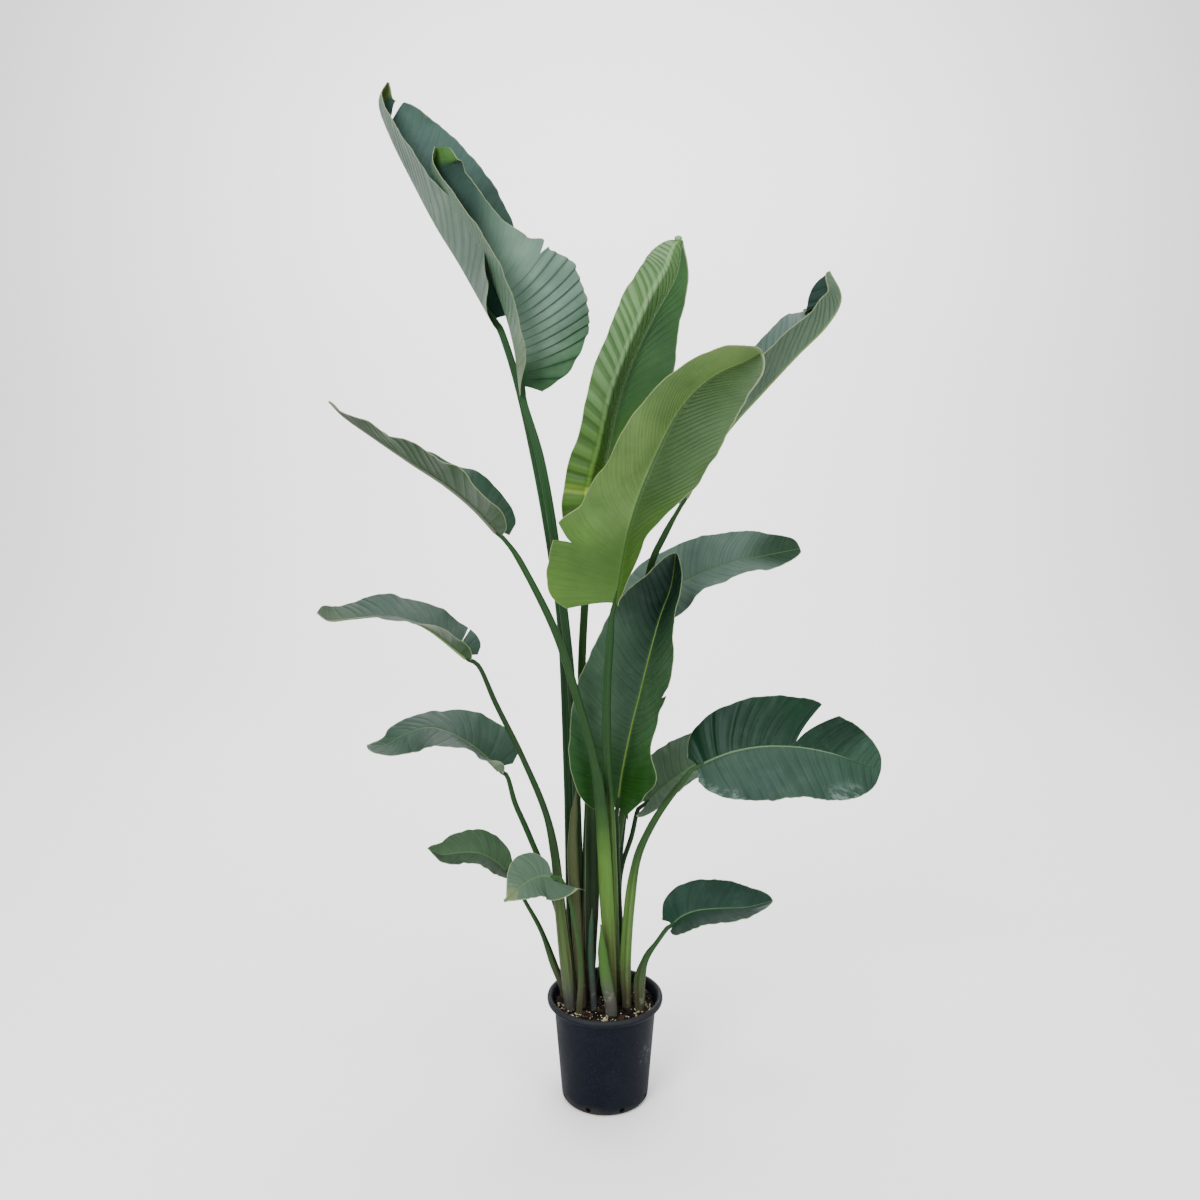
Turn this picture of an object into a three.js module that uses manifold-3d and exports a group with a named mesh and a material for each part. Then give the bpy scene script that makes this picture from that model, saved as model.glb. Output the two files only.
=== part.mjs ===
// Giant bird of paradise in a nursery pot, life size.
// Millimetres, +Z up. The origin is the centre of the pot's flat base.
// Seen from the front, +X is to the right and +Y is away from the viewer.
import * as THREE from "three";
import { mergeVertices } from "three/addons/utils/BufferGeometryUtils.js";
import Module from "manifold-3d";

const wasm = await Module();
wasm.setup();

// Pot
const POT_HEIGHT = 235;
const RIM_RADIUS = 127;
const RIM_BEAD = 5;
const NECK_RADIUS = 112;
const NECK_HEIGHT = 216;
const BASE_RADIUS = 96;
const BASE_ROUND = 12;
const POT_WALL = 2.4;
const POT_SEGMENTS = 40;
const DRAIN_HOLES = 8;
const DRAIN_RADIUS = 6;
const DRAIN_HEIGHT = 13;
const DRILL_LENGTH = 30;
const DRILL_SIDES = 10;

// Potting mix
const SOIL_LEVEL = 216;
const SOIL_LUMP = 2.5;
const SOIL_RINGS = [95, 70, 45, 20];
const SOIL_SEGMENTS = 24;
const SOIL_SHOULDER = 8;
const FIT = 0.3;

// Stalks
const STALK_SIDES = 8;
const RING_STEP = 75;
const STALK_FLATNESS = 0.8;
const GROOVE_DEPTH = 0.25;
const ROOTED_TO = 150;
const ROOT_TAPER = 0.9;
const STALK_END = 10;
const STRAIGHT_END = 35;
const STRAIGHT_SHARE = 0.3;

// Blades
const BLADE_THICKNESS = 1.3;
const RIB_HALF = 6.5;
const KEEL_DEPTH = 6;
const TIP_SHARE = 0.3;
const VEIN_BEND = 1.3;
const CURL_BEND = 1.5;
const CURL_STEPS = 12;
const LOBE_FADE = 6;
const SEAT = 0.4;
const LEAST_WING = 1.5;
const WAVE_SHIFT = 1.9;
const WAVE_BEND = 2.2;
const WAVE_FADE = 0.4;
const TEAR_BEND = 1.2;
const TEAR_REACH = 0.03;

// Leaf colours
const GREY_GREEN = 0x4a6b5c;
const DARK_GREEN = 0x2c4c3a;
const BLUE_GREEN = 0x3d5f55;
const LIGHT_GREEN = 0x6f9a4a;
const YELLOW_GREEN = 0x86a83a;
const SHEATH_GREEN = 0x5f8440;
const SHEATH_BLUE = 0x5a7a66;
const SHEATH_PURPLE = 0x6b5f4c;

// A leaf is read as follows, with left and right seen from above and its tip ahead.
//   stalk   [x, y, z, width] from the soil up to the blade
//   rib     [x, y, z] along the midrib from the blade's foot to its tip
//   facing  [share of the rib, x, y, z]: where the upper face looks
//   half    greatest half width, left and right
//   form    outline exponents at foot and tip, left and right
//   fold    [share of the rib, left, right]: degrees that each half rises from flat
//   curl    [share of the rib, left, right]: degrees added on the way to the margin
//   lobe    how far each half reaches back past the foot, as a share of the rib
//   flare   how far out each half starts at the foot, as a share of its greatest width
//   sweep   how far the veins run on towards the tip, as a share of the rib
//   trim    [share of the rib, left, right]: factors on the half widths
//   wave    height, count along the rib and start of the margin's waves
//   tears   side, share of the rib, depth where the tear stops, opening as a share
//   pleats  side, from, to, count, height
const PLAIN_LEAF = {
  sweep: 0.15, lobe: [0.03, 0.03], flare: [0.06, 0.06],
  curl: [[0, 0, 0]], trim: [[0, 1, 1]], tears: [],
};
const LEAVES = [
  {
    name: "leaf_01", colour: GREY_GREEN,
    stalk: [[-67, 26, 207, 18], [-76, 22, 442, 20], [-80, 20, 703, 19], [-91, 24, 1021, 18],
      [-111, 32, 1191, 16], [-142, 42, 1379, 15], [-182, 54, 1555, 13]],
    rib: [[-231, 60, 1688], [-296, 65, 1801], [-347, 75, 1882], [-398, 85, 1976],
      [-439, 95, 2057], [-463, 100, 2125], [-445, 100, 2167]],
    facing: [[0, 0.1, -1, 0.05], [1, 0.15, -1, 0]],
    half: [150, 152], form: [[0.46, 0.8], [0.46, 0.8]],
    fold: [[0, 88, 8], [0.2, 97, 5], [0.7, 98, 5], [1, 100, 30]],
    sweep: 0.09, flare: [0.06, 0.3],
    trim: [[0, 1, 0.7], [0.2, 1, 0.88], [0.5, 1, 0.96], [0.8, 1, 1], [1, 1.3, 1]],
    tears: [[1, 0.86, 0.05, 0.05]],
    lines: 16, columns: 4,
  },
  {
    name: "leaf_02", colour: GREY_GREEN,
    stalk: [[-46, 2, 215, 18], [-55, 0, 450, 20], [-62, -2, 709, 18], [-70, -4, 900, 18],
      [-80, -2, 1025, 17], [-107, 5, 1245, 16], [-134, 14, 1400, 15]],
    rib: [[-172, 30, 1549], [-182, 15, 1633], [-207, 0, 1720], [-254, -10, 1816],
      [-305, -20, 1894], [-338, -30, 1960], [-331, -30, 2007]],
    facing: [[0, 0.25, -0.96, -0.14], [0.5, 0.05, -1, -0.07], [1, 0.18, -1, 0]],
    half: [115, 165], form: [[0.4, 0.5], [0.3, 0.35]], sweep: 0.13, flare: [0.06, 0.2],
    fold: [[0, 84, 15], [0.15, 97, 8], [0.5, 106, 10], [0.8, 104, 35], [1, 90, 60]],
    trim: [[-0.02, 1, 0.76], [0.06, 1, 0.9], [0.2, 1, 1.04], [0.36, 1, 0.99], [0.46, 0.97, 0.78],
      [0.48, 0.96, 0.76], [0.52, 0.94, 0.6], [0.62, 0.9, 0.46], [0.82, 0.8, 0.52], [1, 0.8, 1]],
    tears: [[1, 0.347, 0.84, 0.024]],
    pleats: [1, 0.02, 0.43, 13, 5],
    lines: 9, columns: 4,
  },
  {
    name: "leaf_03", colour: GREY_GREEN,
    stalk: [[17, -22, 216, 24], [13, -30, 338, 32], [6, -40, 467, 36], [0, -50, 583, 34],
      [-9, -62, 696, 28], [-25, -78, 797, 20], [-52, -92, 904, 19], [-99, -106, 1058, 17],
      [-165, -115, 1196, 14]],
    rib: [[-213, -120, 1263], [-257, -125, 1311], [-311, -130, 1356], [-374, -140, 1398],
      [-440, -150, 1444], [-494, -160, 1483], [-523, -170, 1513]],
    facing: [[0, 0.74, -0.05, 0.67], [0.5, 0.54, 0.1, 0.84], [1, 0.68, 0.17, 0.71]],
    half: [94, 106], form: [[0.34, 0.95], [0.22, 0.95]], lobe: [0.03, 0.06], flare: [0.06, 0.17],
    fold: [[0, 35, 25], [0.2, 28, 30], [1, 22, 14]],
    wave: [5, 4, 0],
    lines: 13, columns: 3,
  },
  {
    name: "leaf_04", colour: DARK_GREEN,
    stalk: [[-74, -30, 216, 20], [-83, -33, 328, 28], [-97, -37, 466, 26], [-106, -42, 569, 21],
      [-127, -46, 669, 15], [-176, -50, 792, 13], [-226, -55, 900, 12]],
    rib: [[-284, -60, 1000], [-350, -65, 1055], [-393, -70, 1078], [-448, -80, 1090],
      [-511, -90, 1086], [-554, -95, 1082], [-578, -100, 1099]],
    facing: [[0, 0.67, -0.09, 0.74], [0.5, 0.21, 0, 0.98], [1, 0.58, 0.16, 0.8]],
    half: [74, 91], form: [[0.36, 0.5], [0.2, 0.26]], lobe: [0.03, 0.05], flare: [0.06, 0.22],
    fold: [[0, 45, 28], [0.3, 30, 16], [1, 18, 16]],
    wave: [3, 3, 1],
    tears: [[1, 0.084, 0.3, 0.014]],
    lines: 13, columns: 3,
  },
  {
    name: "leaf_05", colour: BLUE_GREEN,
    stalk: [[-65, 56, 220, 18], [-87, 48, 337, 17], [-121, 38, 463, 14], [-168, 30, 591, 13],
      [-196, 30, 659, 12]],
    rib: [[-228, 30, 735], [-257, 28, 765], [-291, 20, 796], [-332, 10, 823], [-377, 0, 837],
      [-424, -10, 826], [-463, -20, 805], [-504, -20, 803]],
    facing: [[0, 0.66, -0.41, 0.63], [0.5, 0.35, -0.17, 0.92], [1, 0, -0.22, 0.97]],
    half: [90, 97], form: [[0.42, 0.55], [0.24, 0.85]], lobe: [0.03, 0.05], flare: [0.06, 0.27],
    fold: [[0, 60, 20], [0.25, 30, 11], [0.5, 0, 6], [0.75, 0, 0], [1, 0, 20]],
    wave: [7, 2, 2],
    lines: 13, columns: 3,
  },
  {
    name: "leaf_06", colour: DARK_GREEN,
    stalk: [[-91, 20, 228, 18], [-113, 20, 291, 17], [-141, 20, 372, 11], [-178, 20, 444, 9]],
    rib: [[-210, 20, 504], [-240, 12, 536], [-271, 0, 557], [-308, -10, 563], [-348, -20, 562],
      [-379, -25, 578]],
    facing: [[0, 0.72, -0.42, 0.54], [0.5, 0.25, -0.38, 0.89], [1, 0.47, -0.21, 0.86]],
    half: [52, 60], form: [[0.5, 0.7], [0.5, 0.7]],
    fold: [[0, 20, 10], [1, 12, 12]],
    wave: [3, 2, 1],
    lines: 9, columns: 3,
  },
  {
    name: "leaf_07", colour: BLUE_GREEN,
    stalk: [[-56, -58, 225, 14], [-52, -60, 293, 12], [-54, -64, 362, 9], [-64, -70, 429, 8],
      [-78, -75, 496, 8]],
    rib: [[-110, -84, 537], [-129, -90, 542], [-149, -102, 542], [-173, -120, 532],
      [-207, -138, 506]],
    facing: [[0, 0.57, -0.69, 0.43], [0.5, 0.27, -0.62, 0.74], [1, 0, -0.79, 0.62]],
    half: [52, 55], form: [[0.9, 1.05], [1, 1.5]], lobe: [0.6, 0], flare: [0.22, 0],
    fold: [[0, 10, 12], [1, 5, 5]],
    lines: 9, columns: 3,
  },
  {
    name: "leaf_08", colour: LIGHT_GREEN,
    stalk: [[-37, -12, 221, 16], [-33, -14, 344, 22], [-31, -10, 461, 28], [-31, -2, 566, 28],
      [-33, 15, 704, 22], [-50, 38, 908, 18], [-43, 50, 1103, 17], [-32, 50, 1210, 15]],
    rib: [[-17, 50, 1291], [4, 40, 1404], [28, 30, 1517], [59, 20, 1607], [101, 20, 1693],
      [144, 30, 1772], [157, 50, 1846]],
    facing: [[0, 0.15, -0.98, -0.11], [0.5, 0.13, -0.98, -0.16], [1, 0.17, -0.96, 0.24]],
    half: [98, 98], form: [[0.28, 0.45], [0.42, 0.68]], lobe: [0.13, 0.02], flare: [0.4, 0.06],
    fold: [[0, 55, 40], [0.3, 70, 42], [0.6, 68, 42], [0.85, 38, 45], [1, 10, 50]],
    curl: [[0, -120, 0], [0.7, -120, 0], [1, -60, 0]],
    trim: [[0, 1.16, 1], [0.12, 1.08, 1], [0.3, 0.9, 1.06], [0.55, 1.02, 1.08], [0.75, 1.24, 0.84],
      [1, 1.6, 0.42]],
    lines: 14, columns: 4,
  },
  {
    name: "leaf_09", colour: YELLOW_GREEN,
    stalk: [[24, 4, 222, 22], [18, -5, 454, 22], [14, -19, 583, 20], [10, -38, 690, 18],
      [4, -78, 800, 18], [3, -100, 940, 17], [9, -105, 1043, 16]],
    rib: [[17, -110, 1117], [25, -116, 1156], [40, -130, 1245], [61, -145, 1323], [96, -155, 1410],
      [132, -160, 1482], [171, -155, 1532], [218, -140, 1567], [268, -120, 1589], [305, -100, 1609]],
    facing: [[0, -0.55, -0.84, 0], [0.25, -0.5, -0.86, 0], [0.5, 0.05, -1, -0.12],
      [1, 0.46, -0.89, 0.05]],
    half: [145, 120], form: [[0.15, 0.62], [0.8, 0.72]], lobe: [0.055, 0], flare: [0.58, 0.06],
    trim: [[0, 1.05, 0.86], [0.2, 0.98, 0.88], [0.3, 0.74, 0.86], [0.4, 0.78, 0.88], [0.5, 0.95, 0.94],
      [0.6, 1, 1]],
    fold: [[0, 25, 45], [0.2, 35, 41], [0.5, 42, 42], [1, 45, 45]],
    tears: [[-1, 0.15, 0.74, 0.05]],
    lines: 20, columns: 4,
  },
  {
    name: "leaf_10", colour: GREY_GREEN,
    stalk: [[-11, 38, 224, 20], [7, 42, 433, 18], [35, 42, 616, 15], [62, 35, 843, 16],
      [78, 30, 1062, 16], [95, 30, 1176, 16], [124, 30, 1243, 15]],
    rib: [[167, 30, 1323], [201, 20, 1386], [252, 10, 1465], [319, 0, 1540], [387, 0, 1612],
      [446, 0, 1671], [475, 10, 1725], [455, 30, 1780]],
    facing: [[0, -0.88, 0, 0.47], [0.5, -0.73, 0.07, 0.68], [1, -0.85, 0.27, -0.44]],
    half: [118, 112], form: [[0.4, 0.6], [0.4, 0.6]],
    fold: [[0, 50, 30], [0.5, 46, 38], [1, 42, 34]],
    lines: 14, columns: 4,
  },
  {
    name: "leaf_11", colour: BLUE_GREEN,
    stalk: [[9, 78, 225, 18], [23, 90, 419, 17], [46, 94, 649, 15], [70, 90, 876, 14],
      [85, 86, 1009, 13]],
    rib: [[97, 80, 1092], [134, 80, 1120], [175, 80, 1144], [224, 75, 1166], [279, 70, 1186],
      [343, 70, 1197], [418, 70, 1212]],
    facing: [[0, -0.42, -0.73, 0.54], [0.5, -0.36, -0.52, 0.78], [1, -0.18, -0.47, 0.87]],
    half: [92, 73], form: [[0.2, 0.3], [0.25, 0.36]], lobe: [0.17, 0.1], flare: [0.54, 0.36],
    fold: [[0, 10, -10], [0.4, 14, 14], [1, 5, 5]],
    wave: [4, 3, 0],
    lines: 12, columns: 3,
  },
  {
    name: "leaf_12", colour: DARK_GREEN,
    stalk: [[44, 8, 215, 18], [34, 8, 378, 13], [28, 5, 516, 11], [26, 1, 600, 11]],
    rib: [[26, 0, 658], [36, -8, 740], [55, -15, 841], [73, -20, 917], [91, -25, 995],
      [113, -25, 1077], [136, -20, 1142], [146, -10, 1211]],
    facing: [[0, -0.21, -0.98, -0.07], [0.5, -0.44, -0.9, 0.03], [1, -0.47, -0.86, 0.19]],
    half: [138, 128], form: [[0.42, 0.66], [0.42, 0.66]], lobe: [0.02, 0.03], flare: [0.25, 0.2],
    trim: [[0, 1, 0.58], [0.08, 1, 0.7], [0.2, 1, 0.94], [0.32, 1, 0.6], [0.42, 1, 0.7],
      [0.54, 1, 0.96], [0.7, 1, 0.9], [0.85, 1, 1]],
    fold: [[0, 40, 35], [0.4, 40, 40], [1, 45, 50]],
    wave: [5, 3.5, 1],
    tears: [[1, 0.414, 0.8, 0.03]],
    lines: 15, columns: 4,
  },
  {
    name: "leaf_13", colour: GREY_GREEN,
    stalk: [[38, 38, 224, 18], [31, 54, 424, 13], [38, 66, 500, 11], [60, 88, 563, 11]],
    rib: [[90, 110, 632], [126, 110, 667], [168, 110, 702], [209, 115, 728], [263, 120, 752],
      [323, 130, 764]],
    facing: [[0, -0.59, -0.54, 0.6], [0.5, -0.42, -0.46, 0.78], [1, -0.1, -0.39, 0.92]],
    half: [86, 76], form: [[0.42, 0.55], [0.42, 0.55]], lobe: [0.12, 0.12],
    fold: [[0, 15, 25], [1, 10, 20]],
    lines: 10, columns: 3,
  },
  {
    name: "leaf_14", colour: DARK_GREEN,
    stalk: [[48, -24, 213, 20], [45, -24, 324, 24], [54, -22, 460, 23], [68, -20, 549, 18],
      [90, -15, 605, 16], [124, -10, 664, 15], [169, -2, 722, 13]],
    rib: [[196, 0, 749], [227, -10, 769], [275, -20, 790], [336, -30, 803], [406, -40, 804],
      [470, -45, 793], [530, -45, 773], [580, -40, 754]],
    facing: [[0, -0.56, -0.67, 0.49], [0.5, -0.1, -0.83, 0.55], [1, 0.24, -0.89, 0.38]],
    half: [108, 116], form: [[0.36, 0.42], [0.36, 0.42]], lobe: [0.03, 0.02], flare: [0.18, 0.2],
    trim: [[0.4, 1, 1.04], [0.5, 1, 0.98], [0.62, 1.02, 0.96], [0.72, 0.84, 1], [0.85, 0.9, 1.02]],
    fold: [[0, 15, -5], [0.5, 8, 5], [1, 0, 0]],
    wave: [3, 3, 0],
    tears: [[-1, 0.52, 0.08, 0.085]],
    lines: 15, columns: 4,
  },
  {
    name: "leaf_15", colour: DARK_GREEN,
    stalk: [[78, -38, 228, 16], [75, -38, 284, 18], [88, -40, 336, 13], [112, -40, 373, 10]],
    rib: [[141, -40, 411], [164, -45, 434], [196, -50, 449], [241, -60, 458], [299, -70, 465],
      [353, -75, 482]],
    facing: [[0, -0.65, -0.55, 0.53], [0.5, -0.21, -0.39, 0.9], [1, -0.33, -0.26, 0.91]],
    half: [70, 68], form: [[0.4, 0.55], [0.4, 0.55]], lobe: [0.06, 0.03], flare: [0.2, 0.06],
    fold: [[0, 12, 25], [1, 15, 20]],
    lines: 9, columns: 3,
  },
];

// Old and new sheaths that stand by themselves at the foot of the clump
const SHEATHS = [
  {
    name: "sheath_front", colour: SHEATH_GREEN,
    path: [[13, -60, 231, 26], [4, -62, 284, 26], [-5, -64, 352, 21], [-9, -64, 423, 4]],
  },
  {
    name: "sheath_blue", colour: SHEATH_BLUE,
    path: [[-24, -40, 227, 14], [-30, -40, 333, 15], [-30, -38, 400, 11], [-28, -36, 446, 3]],
  },
  {
    name: "sheath_purple", colour: SHEATH_PURPLE,
    path: [[-48, -27, 218, 18], [-60, -26, 393, 24], [-69, -26, 551, 24], [-67, -25, 640, 17],
      [-60, -24, 712, 4]],
  },
];

const vector = (p) => new THREE.Vector3(p[0], p[1], p[2]);

function curveThrough(points) {
  return new THREE.CatmullRomCurve3(points, false, "catmullrom", 0.5);
}

// Values of rows [t, a, b, ...] at t, eased between neighbouring rows.
function valuesAt(rows, t) {
  const last = rows.length - 1;
  if (t <= rows[0][0]) return rows[0].slice(1);
  if (t >= rows[last][0]) return rows[last].slice(1);
  const i = rows.findIndex((row) => row[0] > t) - 1;
  const share = (t - rows[i][0]) / (rows[i + 1][0] - rows[i][0]);
  const eased = share * share * (3 - 2 * share);
  return rows[i].slice(1).map((a, k) => a + (rows[i + 1][k + 1] - a) * eased);
}

function geometryOf(positions, triangles) {
  const geometry = new THREE.BufferGeometry();
  geometry.setAttribute("position", new THREE.Float32BufferAttribute(positions, 3));
  geometry.setIndex(triangles);
  return geometry;
}

// A closed geometry as a solid for cutting and joining, and back.
function solidOf(geometry) {
  const bare = geometry.clone();
  bare.deleteAttribute("normal");
  bare.deleteAttribute("uv");
  const merged = mergeVertices(bare, 1e-4);
  return new wasm.Manifold(
    new wasm.Mesh({
      numProp: 3,
      vertProperties: new Float32Array(merged.attributes.position.array),
      triVerts: new Uint32Array(merged.index.array),
    }),
  );
}

function geometryFrom(solid) {
  const mesh = solid.getMesh();
  return geometryOf(Array.from(mesh.vertProperties), Array.from(mesh.triVerts));
}

function meshOf(name, geometry, colour, roughness) {
  const material = new THREE.MeshStandardMaterial({ color: colour, roughness, metalness: 0 });
  const mesh = new THREE.Mesh(geometry, material);
  mesh.name = name;
  return mesh;
}

// A lathe turned about Z; its profile runs from the axis round the outside and back.
function latheAboutZ(profile, segments) {
  const points = profile.map(([radius, height]) => new THREE.Vector2(radius, height));
  return new THREE.LatheGeometry(points, segments).rotateX(Math.PI / 2);
}

// Outer radius of the pot's body at height z
function potRadius(z) {
  return THREE.MathUtils.mapLinear(z, BASE_ROUND, NECK_HEIGHT, BASE_RADIUS, NECK_RADIUS);
}

function makePot() {
  const bead = RIM_RADIUS - RIM_BEAD;
  const beadHeight = POT_HEIGHT - RIM_BEAD;
  const inner = NECK_RADIUS - POT_WALL;
  const profile = [[0, 0], [BASE_RADIUS - BASE_ROUND, 0]];
  for (const turn of [30, 60, 90]) {
    const angle = THREE.MathUtils.degToRad(turn);
    profile.push([
      BASE_RADIUS - BASE_ROUND + BASE_ROUND * Math.sin(angle),
      BASE_ROUND - BASE_ROUND * Math.cos(angle),
    ]);
  }
  profile.push([NECK_RADIUS, NECK_HEIGHT], [bead - 1, NECK_HEIGHT + 4]);
  for (const turn of [-60, -10, 40, 90]) {
    const angle = THREE.MathUtils.degToRad(turn);
    profile.push([bead + RIM_BEAD * Math.cos(angle), beadHeight + RIM_BEAD * Math.sin(angle)]);
  }
  profile.push([bead - 5, POT_HEIGHT - 1.5], [inner + 3, NECK_HEIGHT + 6], [inner, NECK_HEIGHT - 4]);
  profile.push([BASE_RADIUS - POT_WALL, BASE_ROUND]);
  profile.push([BASE_RADIUS - BASE_ROUND, POT_WALL + 1], [0, POT_WALL + 1]);
  let pot = solidOf(latheAboutZ(profile, POT_SEGMENTS));
  for (let k = 0; k < DRAIN_HOLES; k++) {
    const drill = new THREE.CylinderGeometry(
      DRAIN_RADIUS,
      DRAIN_RADIUS,
      DRILL_LENGTH,
      DRILL_SIDES,
    );
    drill.rotateZ(Math.PI / 2).translate(BASE_RADIUS, 0, DRAIN_HEIGHT);
    drill.rotateZ((2 * Math.PI * (k + 0.5)) / DRAIN_HOLES);
    pot = pot.subtract(solidOf(drill));
  }
  return meshOf("pot", geometryFrom(pot), 0x23262b, 0.62);
}

// The stalk's round-backed section swept along its route, larger all round by grow.
function stalkGeometry(route, groove, endTangent, grow) {
  const curve = curveThrough(route.map(vector));
  const length = curve.getLength();
  const rings = Math.max(3, Math.round(length / RING_STEP));
  const marks = [0];
  for (let i = 1; i < route.length; i++) {
    marks.push(marks[i - 1] + vector(route[i]).distanceTo(vector(route[i - 1])));
  }
  const widths = route.map((point, i) => [marks[i] / marks[marks.length - 1], point[3]]);
  const across = new THREE.Vector3(0, 1, 0);
  const positions = [];
  const triangles = [];
  const ringTriangles = (i, k) => {
    const next = (k + 1) % STALK_SIDES;
    const a = i * STALK_SIDES + k;
    const b = i * STALK_SIDES + next;
    triangles.push(a, b, b + STALK_SIDES, a, b + STALK_SIDES, a + STALK_SIDES);
  };
  for (let i = 0; i <= rings; i++) {
    const t = i / rings;
    const centre = curve.getPointAt(t);
    const tangent = i === rings && endTangent ? endTangent.clone() : curve.getTangentAt(t);
    if (i === 0) centre.addScaledVector(tangent, -grow);
    const backward = across.clone().addScaledVector(tangent, -across.dot(tangent)).normalize();
    const outward = backward.clone().cross(tangent);
    const start = Math.atan2(groove.dot(backward), groove.dot(outward));
    const width = valuesAt(widths, t)[0];
    for (let k = 0; k < STALK_SIDES; k++) {
      const turn = (2 * Math.PI * k) / STALK_SIDES;
      const dip = k === 0 ? 1 - GROOVE_DEPTH : 1;
      const angle = start + turn;
      const reach = dip * (width / 2) + grow;
      const point = centre
        .clone()
        .addScaledVector(outward, reach * Math.cos(angle))
        .addScaledVector(backward, (dip * STALK_FLATNESS * width / 2 + grow) * Math.sin(angle));
      positions.push(point.x, point.y, point.z);
    }
  }
  for (let i = 0; i < rings; i++) {
    for (let k = 0; k < STALK_SIDES; k++) ringTriangles(i, k);
  }
  const last = rings * STALK_SIDES;
  for (let k = 1; k < STALK_SIDES - 1; k++) {
    triangles.push(0, k + 1, k, last, last + k, last + k + 1);
  }
  return geometryOf(positions, triangles);
}

// The route with its root added below the soil
function rooted(route) {
  const [x, y, , width] = route[0];
  return [[x, y, ROOTED_TO, width * ROOT_TAPER], ...route];
}

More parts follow.
